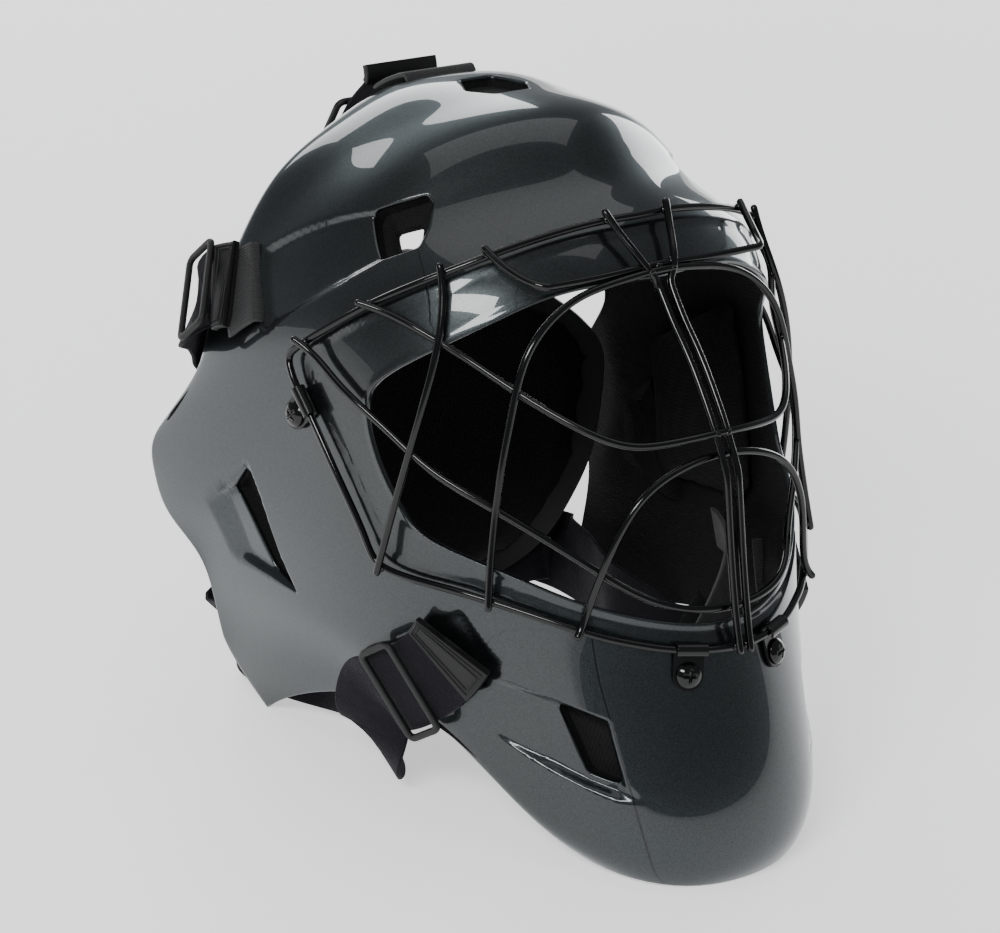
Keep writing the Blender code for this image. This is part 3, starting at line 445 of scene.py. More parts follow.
def strips(loops):
    """Quads between closed loops of point numbers, from each loop to the next."""
    corners = (loops[:-1], np.roll(loops[:-1], -1, 1), np.roll(loops[1:], -1, 1), loops[1:])
    return np.stack(corners, -1)


def slab(one, other):
    """A closed slab between two grids of points of the same shape."""
    rows, columns = one.shape[:2]
    count = rows * columns
    faces = grid_quads(rows, columns).tolist() + grid_quads(rows, columns, start=count).tolist()
    border = [*range(columns), *range(2 * columns - 1, count, columns),
              *range(count - 2, count - columns - 1, -1), *range(count - 2 * columns, 0, -columns)]
    faces += [[a, b, b + count, a + count] for a, b in zip(border, border[1:] + border[:1])]
    return np.concatenate([one.reshape(-1, 3), other.reshape(-1, 3)]), faces


def sweep(path, side, face, loop, sizes=None):
    """A closed profile carried along a path: path + loop_x * side + loop_y * face, with caps."""
    sizes = np.ones((len(path), 2)) if sizes is None else sizes
    points = (path[:, None] + loop[None, :, :1] * sizes[:, None, :1] * side[:, None]
              + loop[None, :, 1:] * sizes[:, None, 1:] * face[:, None])
    count = len(loop)
    faces = grid_quads(len(path), count, wrap_columns=True).tolist()
    faces.append(list(range(count)))
    faces.append(list(range((len(path) - 1) * count, len(path) * count)))
    return points, faces


def rounded_box_loop(width, thickness, radius, steps=4):
    """A rectangle with quarter-round corners, as a closed 2D line."""
    angles = np.linspace(0, math.pi / 2, steps + 1)
    corners = []
    for count, (x, y) in enumerate(((1, 1), (-1, 1), (-1, -1), (1, -1))):
        turned = angles + count * math.pi / 2
        centre = np.array((x * (width / 2 - radius), y * (thickness / 2 - radius)))
        corners.append(centre + radius * np.stack([np.cos(turned), np.sin(turned)], -1))
    return np.concatenate(corners)


def tube(path, hint, radius, sides=16, closed=False, tip=5):
    """A round wire: circles square to the path, shrinking to half-round tips at open ends."""
    run = unit(np.roll(path, -1, 0) - np.roll(path, 1, 0)) if closed else unit(np.gradient(path, axis=0))
    sizes = np.full(len(path), 1.0)
    if not closed:
        angles = np.linspace(0, math.pi / 2, tip + 1)[:-1]
        ahead = radius * np.sin(angles[::-1])[:, None]
        first = path[0] - run[0] * ahead
        last = path[-1] + run[-1] * ahead[::-1]
        path = np.concatenate([first[:-1], path, last[1:]])
        run = np.concatenate([np.repeat(run[:1], tip - 1, 0), run, np.repeat(run[-1:], tip - 1, 0)])
        shrink = np.cos(angles[::-1])[:-1]
        sizes = np.concatenate([shrink, sizes, shrink[::-1]])
        hint = np.concatenate([np.repeat(hint[:1], tip - 1, 0), hint, np.repeat(hint[-1:], tip - 1, 0)])
    side = unit(np.cross(run, hint))
    face = np.cross(side, run)
    turn = np.linspace(0, 2 * math.pi, sides, endpoint=False)
    loop = radius * np.stack([np.cos(turn), np.sin(turn)], -1)
    points, faces = sweep(path, side, face, loop, np.repeat(sizes[:, None], 2, 1))
    if closed:
        faces = grid_quads(len(path), sides, True, True).tolist()
    return points.reshape(-1, 3), faces


def joined(shapes):
    """Several (points, faces) as one."""
    points, faces, start = [], [], 0
    for some_points, some_faces in shapes:
        points.append(np.asarray(some_points).reshape(-1, 3))
        faces += [[corner + start for corner in face] for face in some_faces]
        start += len(points[-1])
    return np.concatenate(points), faces


# Finishes

class Amount:
    """A value that varies over a surface. Arithmetic on it adds Math nodes."""

    def __init__(self, finish, socket):
        self.finish = finish
        self.socket = socket

    def sum(self, operation, first, second=0.0):
        return self.finish.add("Math", {"operation": operation}, {0: first, 1: second})

    def __add__(self, other):
        return self.sum("ADD", self, other)

    __radd__ = __add__

    def __sub__(self, other):
        return self.sum("SUBTRACT", self, other)

    def __rsub__(self, other):
        return self.sum("SUBTRACT", other, self)

    def __mul__(self, other):
        return self.sum("MULTIPLY", self, other)

    __rmul__ = __mul__

    def __abs__(self):
        return self.sum("ABSOLUTE", self)

    def wave(self):
        return self.sum("SINE", self)

    def most(self, other):
        return self.sum("MAXIMUM", self, other)

    def step(self, low, high, start=0.0, end=1.0):
        """`start` below low, `end` above high, with a smooth change between them."""
        return self.finish.add("MapRange", {"interpolation_type": "SMOOTHSTEP"},
                               {0: self, 1: low, 2: high, 3: start, 4: end})


class Finish:
    """One material: its nodes are added by add(), and surface() sets its shader."""

    def __init__(self, name):
        self.material = bpy.data.materials.new(name)
        self.material.use_nodes = True
        self.tree = self.material.node_tree
        self.shader = self.tree.nodes["Principled BSDF"]

    def put(self, socket, value):
        """Link a value to a socket, or set it."""
        if isinstance(value, Amount):
            self.tree.links.new(value.socket, socket)
        elif socket.type == "RGBA" and len(value) == 3:
            socket.default_value = (*value, 1)
        else:
            socket.default_value = value

    def add(self, kind, settings, sockets, output=0):
        """A node of this kind, with its settings made first, then its sockets."""
        node = self.tree.nodes.new("ShaderNode" + kind)
        for label, value in settings.items():
            setattr(node, label, value)
        for label, value in sockets.items():
            self.put(node.inputs[label], value)
        return Amount(self, node.outputs[output])

    def place(self):
        return self.add("TexCoord", {}, {}, "Object")

    def flat(self, axis):
        """One coordinate of the piece's UV map, in metres."""
        return self.add("SeparateXYZ", {}, {0: self.add("UVMap", {"uv_map": "UVMap"}, {})}, axis)

    def carried(self, label):
        """An amount that the mesh carries."""
        return self.add("Attribute", {"attribute_name": label}, {}, "Fac")

    def split(self):
        """The three coordinates of the place."""
        place = self.place()
        return [self.add("SeparateXYZ", {}, {0: place}, axis) for axis in "XYZ"]

    def noise(self, scale, detail=2.0, rough=0.5):
        sockets = {"Vector": self.place(), "Scale": scale, "Detail": detail, "Roughness": rough}
        return self.add("TexNoise", {}, sockets)

    def cells(self, scale, output):
        return self.add("TexVoronoi", {}, {"Vector": self.place(), "Scale": scale}, output)

    def mix(self, share, first, second):
        """A colour between two, by a share."""
        return self.add("Mix", {"data_type": "RGBA"}, {0: share, 6: first, 7: second}, 2)

    def bump(self, height, distance, under=None):
        """A bump of this height in metres."""
        sockets = {"Height": height, "Distance": distance}
        if under:
            sockets["Normal"] = under
        return self.add("Bump", {}, sockets)

    def surface(self, **sockets):
        """Set the shader's sockets, named with _ for a space."""
        for label, value in sockets.items():
            self.put(self.shader.inputs[label.replace("_", " ")], value)
        return self.material


# Ribs of the knurled lining, in radians a metre, and the width of one rib of the webbing.
RIBS = 2600
RIB = 0.0012


def paint_finish():
    """Metallic dark grey under a clear coat: fine flake, faint cloud, grooves at the seams, darkened by
    painted shade.
    """
    finish = Finish("flake_paint")
    flake = finish.cells(3200, "Color")
    cloud = finish.noise(9, 3)
    fleck = finish.add("SeparateColor", {}, {0: flake})
    base = finish.mix(cloud.step(.35, .70), (.015, .0195, .021), (.021, .0245, .025))
    base = finish.mix(fleck * .22, base, (.11, .125, .13))
    dust = finish.noise(420, 2).step(.66, .74)
    shaded_groove = None
    for seam in SEAMS:
        line = abs(finish.carried(seam)).step(.0001, .0005, 1.0, 0.0)
        shaded_groove = line if shaded_groove is None else shaded_groove.most(line)
    relief = finish.bump(fleck * .02 - shaded_groove, .00045)
    orange_peel = finish.bump(finish.noise(170, 1), .00003, relief)
    # Painted shade: the base colour darkens toward near black along the seam grooves.
    base = finish.mix(shaded_groove * .85, base, (.008, .009, .010))
    return finish.surface(Base_Color=base, Metallic=.9, Roughness=.27 + .08 * cloud + .06 * dust,
                          Coat_Weight=1.0, Coat_Roughness=.012, Coat_IOR=1.42,
                          Specular_Tint=(.62, .66, .68), Normal=orange_peel)


def lining_finish():
    """Black foam lining with a fine knurl of crossed diagonal ribs."""
    finish = Finish("knurled_lining")
    x, y, z = finish.split()
    ribs = ((x + y + z) * RIBS).wave() * ((x - y + z) * RIBS).wave()
    knurl = ribs * .5 + .5
    grain = finish.noise(900, 2)
    base = finish.mix(knurl * .6 + grain * .4, (.0015, .0015, .0018), (.0075, .0075, .0080))
    return finish.surface(Base_Color=base, Roughness=.86 - .10 * knurl, Specular_IOR_Level=.25,
                          Normal=finish.bump(knurl + grain * .3, .00025))


def steel_finish(name="coated_steel", tint=(.0015, .0015, .0018), rough=.10):
    """Black powder-coated steel: faint orange peel, small scuffs."""
    finish = Finish(name)
    peel = finish.noise(420, 1)
    scuff = finish.noise(130, 4, .65).step(.64, .76)
    return finish.surface(Base_Color=finish.mix(scuff * .15, tint, (.020, .020, .022)),
                          Roughness=rough + .04 * peel + .08 * scuff, Specular_IOR_Level=.38,
                          Normal=finish.bump(peel, .000008))


def velvet_finish():
    """Brushed loop fabric: short fibres, soft sheen, faint pressed patches."""
    finish = Finish("velvet_loop")
    fibre = finish.noise(2600, 3, .7)
    tuft = finish.noise(520, 3, .6)
    pressed = finish.noise(60, 3).step(.40, .65)
    lint = finish.noise(1500, 1).step(.74, .80)
    base = finish.mix(fibre * .55 + tuft * .35, (.0022, .0021, .0034), (.009, .0085, .0125))
    base = finish.mix(lint * .25, base, (.06, .06, .065))
    return finish.surface(Base_Color=base, Roughness=.92 - .12 * pressed,
                          Sheen_Weight=.10, Sheen_Roughness=.35, Sheen_Tint=(.72, .70, .80),
                          Specular_IOR_Level=.2,
                          Normal=finish.bump(fibre * .6 + tuft * .7 + pressed * .3, .00045))


def webbing_finish():
    """Woven tape on UV metres: warp ribs along it, weft ribs across it."""
    finish = Finish("webbing")
    along, across = finish.flat("X"), finish.flat("Y")
    shift = (across * (math.pi / RIB)).wave().step(-.2, .2) * (RIB / 2)
    warp = abs((across * (math.pi / RIB)).wave())
    weft = abs(((along + shift) * (math.pi / RIB)).wave())
    weave = warp.most(weft * .8)
    fuzz = finish.noise(1800, 2)
    base = finish.mix(weave * .7 + fuzz * .3, (.0012, .0012, .0015), (.008, .008, .0092))
    return finish.surface(Base_Color=base, Roughness=.52 + .2 * fuzz, Sheen_Weight=.10,
                          Normal=finish.bump(weave + fuzz * .3, .0003))


def rubber_finish(name="soft_rubber", tint=(.0035, .0035, .0038)):
    """Moulded rubber or hard plastic with a fine matt grain."""
    finish = Finish(name)
    grain = finish.noise(1400, 2, .6)
    blotch = finish.noise(45, 3)
    scuff = finish.noise(210, 4, .7).step(.62, .72)
    return finish.surface(Base_Color=finish.mix(blotch * .5 + scuff * .3, tint, (.010, .010, .011)),
                          Specular_IOR_Level=.35, Roughness=.46 + .14 * grain + .10 * scuff,
                          Normal=finish.bump(grain, .00010))


def knit_finish():
    """Knitted cover of a pad: tiny loops in rows, soft and matt."""
    finish = Finish("knit_cover")
    x, y, z = finish.split()
    rows = ((z + y * .4) * 3600).wave()
    loops = ((x + rows * .0002) * 4200).wave()
    knit = rows * loops * .5 + .5
    wear = finish.noise(38, 3)
    base = finish.mix(knit * .6 + wear * .3, (.0018, .0018, .0020), (.0090, .0090, .0098))
    return finish.surface(Base_Color=base, Roughness=.85 + .08 * wear, Specular_IOR_Level=.25,
                          Normal=finish.bump(knit, .0003))


PAINT = paint_finish()
LINING = lining_finish()
STEEL = steel_finish()
CLIP_STEEL = steel_finish("clip_steel", (.003, .003, .0033), .20)
SCREW_STEEL = steel_finish("screw_steel", (.002, .002, .0022), .08)
VELVET = velvet_finish()
WEBBING = webbing_finish()
RUBBER = rubber_finish()
PLASTIC = rubber_finish("hard_plastic", (.003, .003, .0033))
KNIT = knit_finish()


def frame_corners():
    """The points of the cage's frame, all the way round, lifted off the shell."""
    rows = np.array(FRAME)
    half = on_shell(rows[:, 0], rows[:, 1], FRAME_LIFT)
    half[(0, -1), 0] = 0
    return np.concatenate([half, flip_x(half[-2:0:-1])])


FRAME_LOOP = smooth_loop(frame_corners(), 720)


# The shell

def shell_spots(spokes, rings):
    """Section and way of the shell's points: spokes from the opening's edge to the rim."""
    rows = np.array(OPENING)
    place = np.linspace(0, len(rows) - 1, spokes + 1)
    edge = spline_weights(len(rows), place) @ rows[:, :2]
    low = np.minimum(place.astype(int), len(rows) - 2)
    part = (place - low)[:, None]
    rim = rows[low, 2:] * (1 - part) + rows[low + 1, 2:] * part
    edge[(0, -1), 1] = 0
    along = np.linspace(0, 1, rings + 1)[None, :, None]
    return edge[:, None] * (1 - along) + rim[:, None] * along


def shell_layout():
    """Section and way of the whole shell: spokes all the way round, rings from opening to rim."""
    half = shell_spots(SPOKES, RINGS)
    return np.concatenate([half, half[-2:0:-1] * (1, -1)])


def rounded_outline(corners, radii, samples=480):
    """A polygon with its corners rounded by arcs, as a dense closed line."""
    before, after = np.roll(corners, 1, 0), np.roll(corners, -1, 0)
    line = []
    for corner, back, ahead, radius in zip(corners, before, after, radii):
        to_back, to_ahead = unit(back - corner), unit(ahead - corner)
        half_turn = math.acos(np.clip(to_back @ to_ahead, -1, 1)) / 2
        shorter = min(np.linalg.norm(back - corner), np.linalg.norm(ahead - corner))
        reach = min(radius / math.tan(half_turn), .45 * shorter)
        share = np.linspace(0, 1, 13)[:, None]
        start, end = corner + to_back * reach, corner + to_ahead * reach
        line.append(start * (1 - share) ** 2 + 2 * corner * share * (1 - share) + end * share ** 2)
    line = np.concatenate(line)
    closed = np.concatenate([line, line[:1]])
    along = lengths_along(closed)
    places = np.linspace(0, along[-1], samples, endpoint=False)
    return np.stack([np.interp(places, along, closed[:, k]) for k in (0, 1)], -1)


def line_distance(points, line, reach=.006):
    """Signed distance from a line on the shell, held within `reach`."""
    line = np.asarray(line)
    start, step = line[:-1], np.diff(line, axis=0)
    best = np.full(len(points), np.inf)
    signed = np.full(len(points), reach)
    middle = line.mean(0)
    furthest = np.ptp(line, axis=0).max() + 2 * reach
    near = np.where(np.linalg.norm(points - middle, axis=1) < furthest)[0]
    some = points[near]
    for a, d in zip(start, step):
        share = np.clip((some - a) @ d / (d @ d), 0, 1)
        apart = some - a - share[:, None] * d
        length = np.linalg.norm(apart, axis=1)
        side = np.sign(np.cross(d, apart) @ unit(middle + (0, -.02, 0)))
        closer = length < best[near]
        best[near[closer]] = length[closer]
        signed[near[closer]] = (np.where(side == 0, 1, side) * length)[closer]
    return np.clip(signed, -reach, reach)


def seam_line(spots):
    """A seam's line on the shell."""
    dense = smooth_line(spots, 60)
    return shell_point(dense[:, 0], dense[:, 1])


def panel_depth(spots):
    """How deep the panels sink the surface: the least of the falling floor and the sloping walls,
    min(depth * apart_0 / length, slope * apart_i), where apart_i is the distance inside edge i."""
    spots = spots * (1, 1)
    spots[..., 1] = np.abs(spots[..., 1])
    found = np.zeros(spots.shape[:-1])
    for depth, length, slope, corners in PANELS:
        corners = np.array(corners)
        middle = corners.mean(0)
        sizes = way_sizes(middle)
        flat, shape = (spots - middle) * sizes, (corners - middle) * sizes
        edges = unit(np.roll(shape, -1, 0) - shape)
        apart = [edge[0] * (flat[..., 1] - a[1]) - edge[1] * (flat[..., 0] - a[0])
                 for a, edge in zip(shape, edges)]
        turn = np.sign(edges[0, 0] * -shape[0, 1] + edges[0, 1] * shape[0, 0])
        apart = np.array(apart) * turn
        floor = depth * np.clip(apart[0] / length, 0, 1)
        found = np.maximum(found, np.minimum(floor, slope * apart[1:].min(axis=0)))
    return found


def vent_patch(layout, corners, start, foam):
    """The shell round one vent: rings from a block of the grid to the vent's rounded edge, down
    through the wall and back out on the inside. Each point is outline + share * (block -
    outline), at a depth below the outer surface."""
    corners = np.array(corners)
    middle = corners[:, :2].mean(0)
    sizes = way_sizes(middle)
    outline = rounded_outline((corners[:, :2] - middle) * sizes, corners[:, 2])
    values, axes = np.linalg.eigh(np.cov(outline.T))
    whiten = axes / np.sqrt(values)
    polar = outline @ whiten
    angles = np.arctan2(polar[:, 1], polar[:, 0])
    order = np.argsort(angles)
    angles, radii = angles[order], np.linalg.norm(polar, axis=1)[order]
    spokes, rings = layout.shape[:2]
    flat = (layout - middle) * sizes
    all_polar = flat @ whiten
    all_turns = np.arctan2(all_polar[..., 1], all_polar[..., 0])
    found = np.interp(all_turns, angles, radii, period=2 * math.pi)
    inside = np.linalg.norm(all_polar, axis=-1) < found
    spoke, ring = np.nonzero(inside)
    centre_spoke = spoke[0]
    relative = (spoke - centre_spoke + spokes // 2) % spokes - spokes // 2
    low_spoke = relative.min() + centre_spoke - VENT_MARGIN
    high_spoke = relative.max() + centre_spoke + VENT_MARGIN
    low_ring, high_ring = max(ring.min() - VENT_MARGIN, 1), min(ring.max() + VENT_MARGIN, rings - 2)
    sides = [[(s, low_ring) for s in range(low_spoke, high_spoke)],
             [(high_spoke, r) for r in range(low_ring, high_ring)],
             [(s, high_ring) for s in range(high_spoke, low_spoke, -1)],
             [(low_spoke, r) for r in range(high_ring, low_ring, -1)]]
    block = np.array([spot for side in sides for spot in side])
    block[:, 0] %= spokes
    border = flat[block[:, 0], block[:, 1]]
    border_polar = border @ whiten
    turn = np.arctan2(border_polar[:, 1], border_polar[:, 0])
    radius = np.interp(turn, angles, radii, period=2 * math.pi)
    edge = np.stack([np.cos(turn), np.sin(turn)], -1) * radius[:, None] @ np.linalg.inv(whiten)
    away = border - edge
    reach = np.linalg.norm(away, axis=1, keepdims=True)
    away /= reach
    steps = max(8, int(np.median(reach) / PATCH_STEP))
    outer = [edge + away * (EDGE_RADIUS + (reach - EDGE_RADIUS) * share)
             for share in (np.linspace(1, 0, steps)[1:] ** 1.1)]
    depth = [0.0] * len(outer)
    for angle in np.linspace(0, math.pi / 2, 6)[1:]:
        outer.append(edge + away * EDGE_RADIUS * (1 - math.sin(angle)))
        depth.append(EDGE_RADIUS * (1 - math.cos(angle)))
    painted = len(outer)
    deep, share_open, heart = foam
    heart = (np.array(heart) * (1, np.sign(middle[1]) or 1) - middle) * sizes
    outer += [edge, edge]
    depth += [SHELL_WALL * .6, deep]
    for share in (.02, .35, .68, 1, 1):
        outer.append(heart + (edge - heart) * (1 - share * (1 - share_open)))
        depth.append(deep + FOAM_DISH)
    depth[-1] += FOAM_THICKNESS
    outer += [edge + away * FOAM_RIM, edge + away * INNER_RIM]
    depth += [deep + FOAM_THICKNESS, SHELL_WALL]
    for share in np.linspace(0, 1, 7)[1:-1]:
        outer.append(edge + away * (INNER_RIM + (reach - INNER_RIM) * share))
        depth.append(SHELL_WALL)
    spots = np.array(outer) / sizes + middle
    depths = np.broadcast_to(np.array(depth)[:, None], spots.shape[:2])
    count = len(block)
    first = block[:, 0] * rings + block[:, 1]
    last = first + spokes * rings
    between = start + np.arange(spots.shape[0] * count).reshape(-1, count)
    faces = strips(np.concatenate([first[None], between, last[None]]))
    which = np.zeros(faces.shape[:2], int)
    which[painted + 1:] = 1
    hole = [((low_spoke + s) % spokes, low_ring + r) for s in range(high_spoke - low_spoke)
            for r in range(high_ring - low_ring)]
    return spots.reshape(-1, 2), depths.ravel(), faces.reshape(-1, 4), which.ravel(), np.array(hole)


def rim_step(layout):
    """A fine step down toward the opening, just inside the cage's frame, spoke by spoke."""
    rings = layout.shape[1] // 2
    points = shell_point(layout[..., 0], layout[..., 1])
    along = np.linalg.norm(np.diff(points, axis=1, prepend=points[:, :1]), axis=2).cumsum(axis=1)
    apart = np.linalg.norm(points[:, :rings, None] - FRAME_LOOP[None, None, ::5], axis=3).min(axis=2)
    under = along[np.arange(len(along)), apart.argmin(axis=1)]
    wide = np.ones(7) / 7
    under = np.convolve(np.pad(under, 3, "wrap"), wide, "valid")[:, None] - RIM_STEP_PLACE
    return RIM_STEP * smooth(under + .0005, under - .0005, along) * smooth(0, .002, along)


# How many of the strips over the shell's edges are painted, counted from outside.
PAINTED_ARCS = 5


def make_shell():
    """The shell: two walls over one layout, joined by rounded edges, with vents let into them."""
    layout = shell_layout()
    spokes, rings = layout.shape[:2]
    keep = np.ones((spokes, rings - 1), bool)
    spots = [layout.reshape(-1, 2), layout.reshape(-1, 2)]
    depths = [rim_step(layout).ravel(), np.full(spokes * rings, SHELL_WALL)]
    faces, which = [], []
    start = 2 * spokes * rings
    for vent, corners in VENTS.items():
        ways = np.array(corners)[:, 1]
        for mirror in (1, -1) if ways.min() > 0 else (1,):
            turned = [(section, way * mirror, radius) for section, way, radius in corners]
            patch = vent_patch(layout, turned, start, VENT_FOAM[vent])
            spots.append(patch[0])
            depths.append(patch[1])
            faces.append(patch[2])
            which.append(patch[3])
            keep[patch[4][:, 0], patch[4][:, 1]] = False
            start += len(patch[0])
    walls = grid_quads(spokes, rings, wrap_rows=True).reshape(spokes, rings - 1, 4)[keep]
    faces.append(walls)
    which.append(np.zeros(len(walls), int))
    faces.append(walls + spokes * rings)
    which.append(np.ones(len(walls), int))
    # The edges at the opening and at the rim: half-round from one wall to the other.
    arcs = np.linspace(0, math.pi, 9)[1:-1]
    for ring, inner in ((0, 1), (rings - 1, rings - 2)):
        outward = layout[:, ring] - layout[:, inner]
        metres = np.linalg.norm(shell_point(layout[:, ring, 0], layout[:, ring, 1])
                                - shell_point(layout[:, inner, 0], layout[:, inner, 1]), axis=1)
        outward = outward / metres[:, None]
        arc_spots = layout[None, :, ring] + outward[None] * EDGE_BULGE * np.sin(arcs)[:, None, None]
        arc_depths = SHELL_WALL / 2 * (1 - np.cos(arcs))[:, None] * np.ones(spokes)
        middle_rows = start + np.arange(len(arcs) * spokes).reshape(-1, spokes)
        first = (np.arange(spokes) * rings + ring)[None]
        made = strips(np.concatenate([first, middle_rows, first + spokes * rings]))
        marks = np.zeros(made.shape[:2], int)
        marks[PAINTED_ARCS:] = 1
        spots.append(arc_spots.reshape(-1, 2))
        depths.append(arc_depths.ravel())
        faces.append(made.reshape(-1, 4))
        which.append(marks.ravel())
        start += arc_spots.shape[0] * spokes
    spots, depths = np.concatenate(spots), np.concatenate(depths)
    depths = depths + panel_depth(spots)
    faces, which = np.concatenate(faces), np.concatenate(which)
    points = on_shell(spots[:, 0], spots[:, 1], -depths)
    used = np.unique(faces)
    order = np.full(len(points), -1)
    order[used] = np.arange(len(used))
    points, faces = points[used], order[faces]
    mirror = np.abs(points) * (1, 0, 0) + points * (0, 1, 1)
    amounts = {name: line_distance(mirror, seam_line(line)) for name, line in SEAMS.items()}
    make_piece("dressed_shell", points, faces, [PAINT, LINING], "shell", which=which, amounts=amounts,
               slot="shell_paint", sharp=60)


# The cage

def weld_point(section, way):
    """The middle of a wire welded on the outside of the frame, near this place on the shell."""
    spot = on_shell(section, way, FRAME_LIFT)
    nearest = FRAME_LOOP[np.argmin(np.linalg.norm(FRAME_LOOP - spot, axis=1))]
    return nearest + shell_normal(section, way) * (WIRE_DIAMETER - WELD_SINK)


# The spokes and rings that a wire's clearance is measured to, and how many points each way its
# push is eased over.
CLEARANCE_GRID = (112, 44)
EASE_REACH = 7


def clear_of_shell(points):
    """Push a wire's points outward until the wire clears the shell."""
    spots = shell_spots(*CLEARANCE_GRID).reshape(-1, 2)
    wall = shell_point(spots[:, 0], spots[:, 1])
    normals = shell_normal(spots[:, 0], spots[:, 1])
    wall = np.concatenate([wall, flip_x(wall)])
    normals = np.concatenate([normals, flip_x(normals)])
    wanted = WIRE_DIAMETER / 2 + WIRE_CLEARANCE
    first = np.array(points)
    points = first.copy()
    for _ in range(2):
        apart = points[:, None] - wall
        nearest = np.argmin(np.linalg.norm(apart, axis=2), axis=1)
        apart = apart[np.arange(len(points)), nearest]
        normal = normals[nearest]
        height = (apart * normal).sum(axis=1)
        aside = np.maximum((apart ** 2).sum(axis=1) - height ** 2, 0)
        least = np.sqrt(np.maximum(wanted ** 2 - aside, 0))
        points += normal * np.maximum(least - height, 0)[:, None]
    push = points - first
    window = np.hanning(2 * EASE_REACH + 3)[1:-1]
    window = window / window.sum()
    eased = np.stack([np.convolve(np.pad(part, EASE_REACH, "edge"), window, "valid")
                      for part in push.T], -1)
    highest = np.linalg.norm(eased, axis=1).max()
    return first + eased * (np.linalg.norm(push, axis=1).max() / highest if highest else 0)


def with_tips(points):
    """Run a wire's ends a little past their welds."""
    first = points[0] - unit(points[1] - points[0]) * WIRE_TIP
    last = points[-1] + unit(points[-1] - points[-2]) * WIRE_TIP
    return np.concatenate([[first], points, [last]])


def wire_lines():
    """The middle line of each wire across the frame."""
    lines = {}
    for name, (start, middle) in MIRRORED_WIRES.items():
        half = np.concatenate([[weld_point(*start)], scaled(middle)])
        full = np.concatenate([half, flip_x(half[-2::-1])])
        lines[name] = smooth_line(full, 260)
    for name, (start, middle, end) in PAIRED_WIRES.items():
        points = np.concatenate([[weld_point(*start)], scaled(middle), [weld_point(*end)]])
        lines[name + "_left"] = smooth_line(points, 160)
        lines[name + "_right"] = flip_x(lines[name + "_left"])
    for name, points in lines.items():
        even = clear_of_shell(spaced(with_tips(points), WIRE_STEP))
        lines[name] = smooth_line(even, 2 * len(even))
    return lines


def outward_hint(points):
    """The direction away from the middle of the head at each point."""
    return unit(points - np.array((0, .02, .03)))


# Two wires closer than this are welded, by a bead of these half sizes.
WELD_REACH = WIRE_DIAMETER * 1.15
WELD_BEAD = (0.0021, 0.0021, 0.0013)


def make_cage():
    """The welded cage: its frame, its wires, and a bead of weld wherever two of them touch."""
    radius = WIRE_DIAMETER / 2
    lines = list(wire_lines().values())
    shapes = [tube(FRAME_LOOP, outward_hint(FRAME_LOOP), radius, closed=True)]
    shapes += [tube(line, outward_hint(line), radius) for line in lines]
    lines.insert(0, FRAME_LOOP)
    for count, one in enumerate(lines):
        for other in lines[count + 1:]:
            apart = np.linalg.norm(one[:, None] - other[None], axis=2)
            close = apart.min(axis=1)
            lowest = (close <= np.roll(close, 1)) & (close < np.roll(close, -1))
            for row in np.nonzero(lowest & (close < WELD_REACH))[0]:
                shapes.append(weld_bead(one, row, other, apart[row].argmin()))
    points, faces = joined(shapes)
    make_piece("dressed_cage", points, faces, STEEL, "cage", slot="cage_wire", sharp=60)


def weld_bead(one, row, other, column):
    """A bead of weld: an ellipsoid between two wires, flattened across them."""
    centre = (one[row] + other[column]) / 2
    across = unit(other[column] - one[row])
    run = one[min(row + 1, len(one) - 1)] - one[max(row - 1, 0)]
    run = unit(run - across * (run @ across))
    side = np.cross(across, run)
    tilts, turns = 7, 12
    tilt = np.linspace(0, math.pi, tilts + 2)[1:-1][:, None]
    turn = np.linspace(0, 2 * math.pi, turns, endpoint=False)[None]
    ball = np.broadcast_arrays(np.sin(tilt) * np.cos(turn), np.sin(tilt) * np.sin(turn), np.cos(tilt))
    points = centre + np.stack(ball, -1) * WELD_BEAD @ np.array((run, side, across))
    faces = grid_quads(tilts, turns, wrap_columns=True).tolist()
    faces += [list(range(turns)), list(range((tilts - 1) * turns, tilts * turns))]
    return points.reshape(-1, 3), faces


def clip_axes(section, way, down):
    """A clip's place on the frame: along the wire, toward its screw, and away from the shell."""
    line = frame_corners()
    following = np.roll(line, -1, axis=0)
    middles = (line + following) / 2
    nearest = int(np.argmin(np.linalg.norm(middles - on_shell(section, way, FRAME_LIFT), axis=1)))
    run = unit(following[nearest] - line[nearest])
    normal = shell_normal(section, way)
    normal = unit(normal - run * run.dot(normal))
    spot = FRAME_LOOP[np.argmin(np.linalg.norm(FRAME_LOOP - middles[nearest], axis=1))]
    toward = unit(np.cross(normal, run))
    outward = np.array((0, 0, -1)) if down else np.array((0, 1, 0))
    if toward.dot(outward) < 0:
        toward = -toward
    return spot, np.cross(toward, normal), toward, normal


def soften_edges(piece, width, segments):
    """Bevel a piece's sharp edges."""
    bevel = piece.modifiers.new("edges", "BEVEL")
    bevel.width = width
    bevel.segments = segments
    bevel.limit_method = "ANGLE"


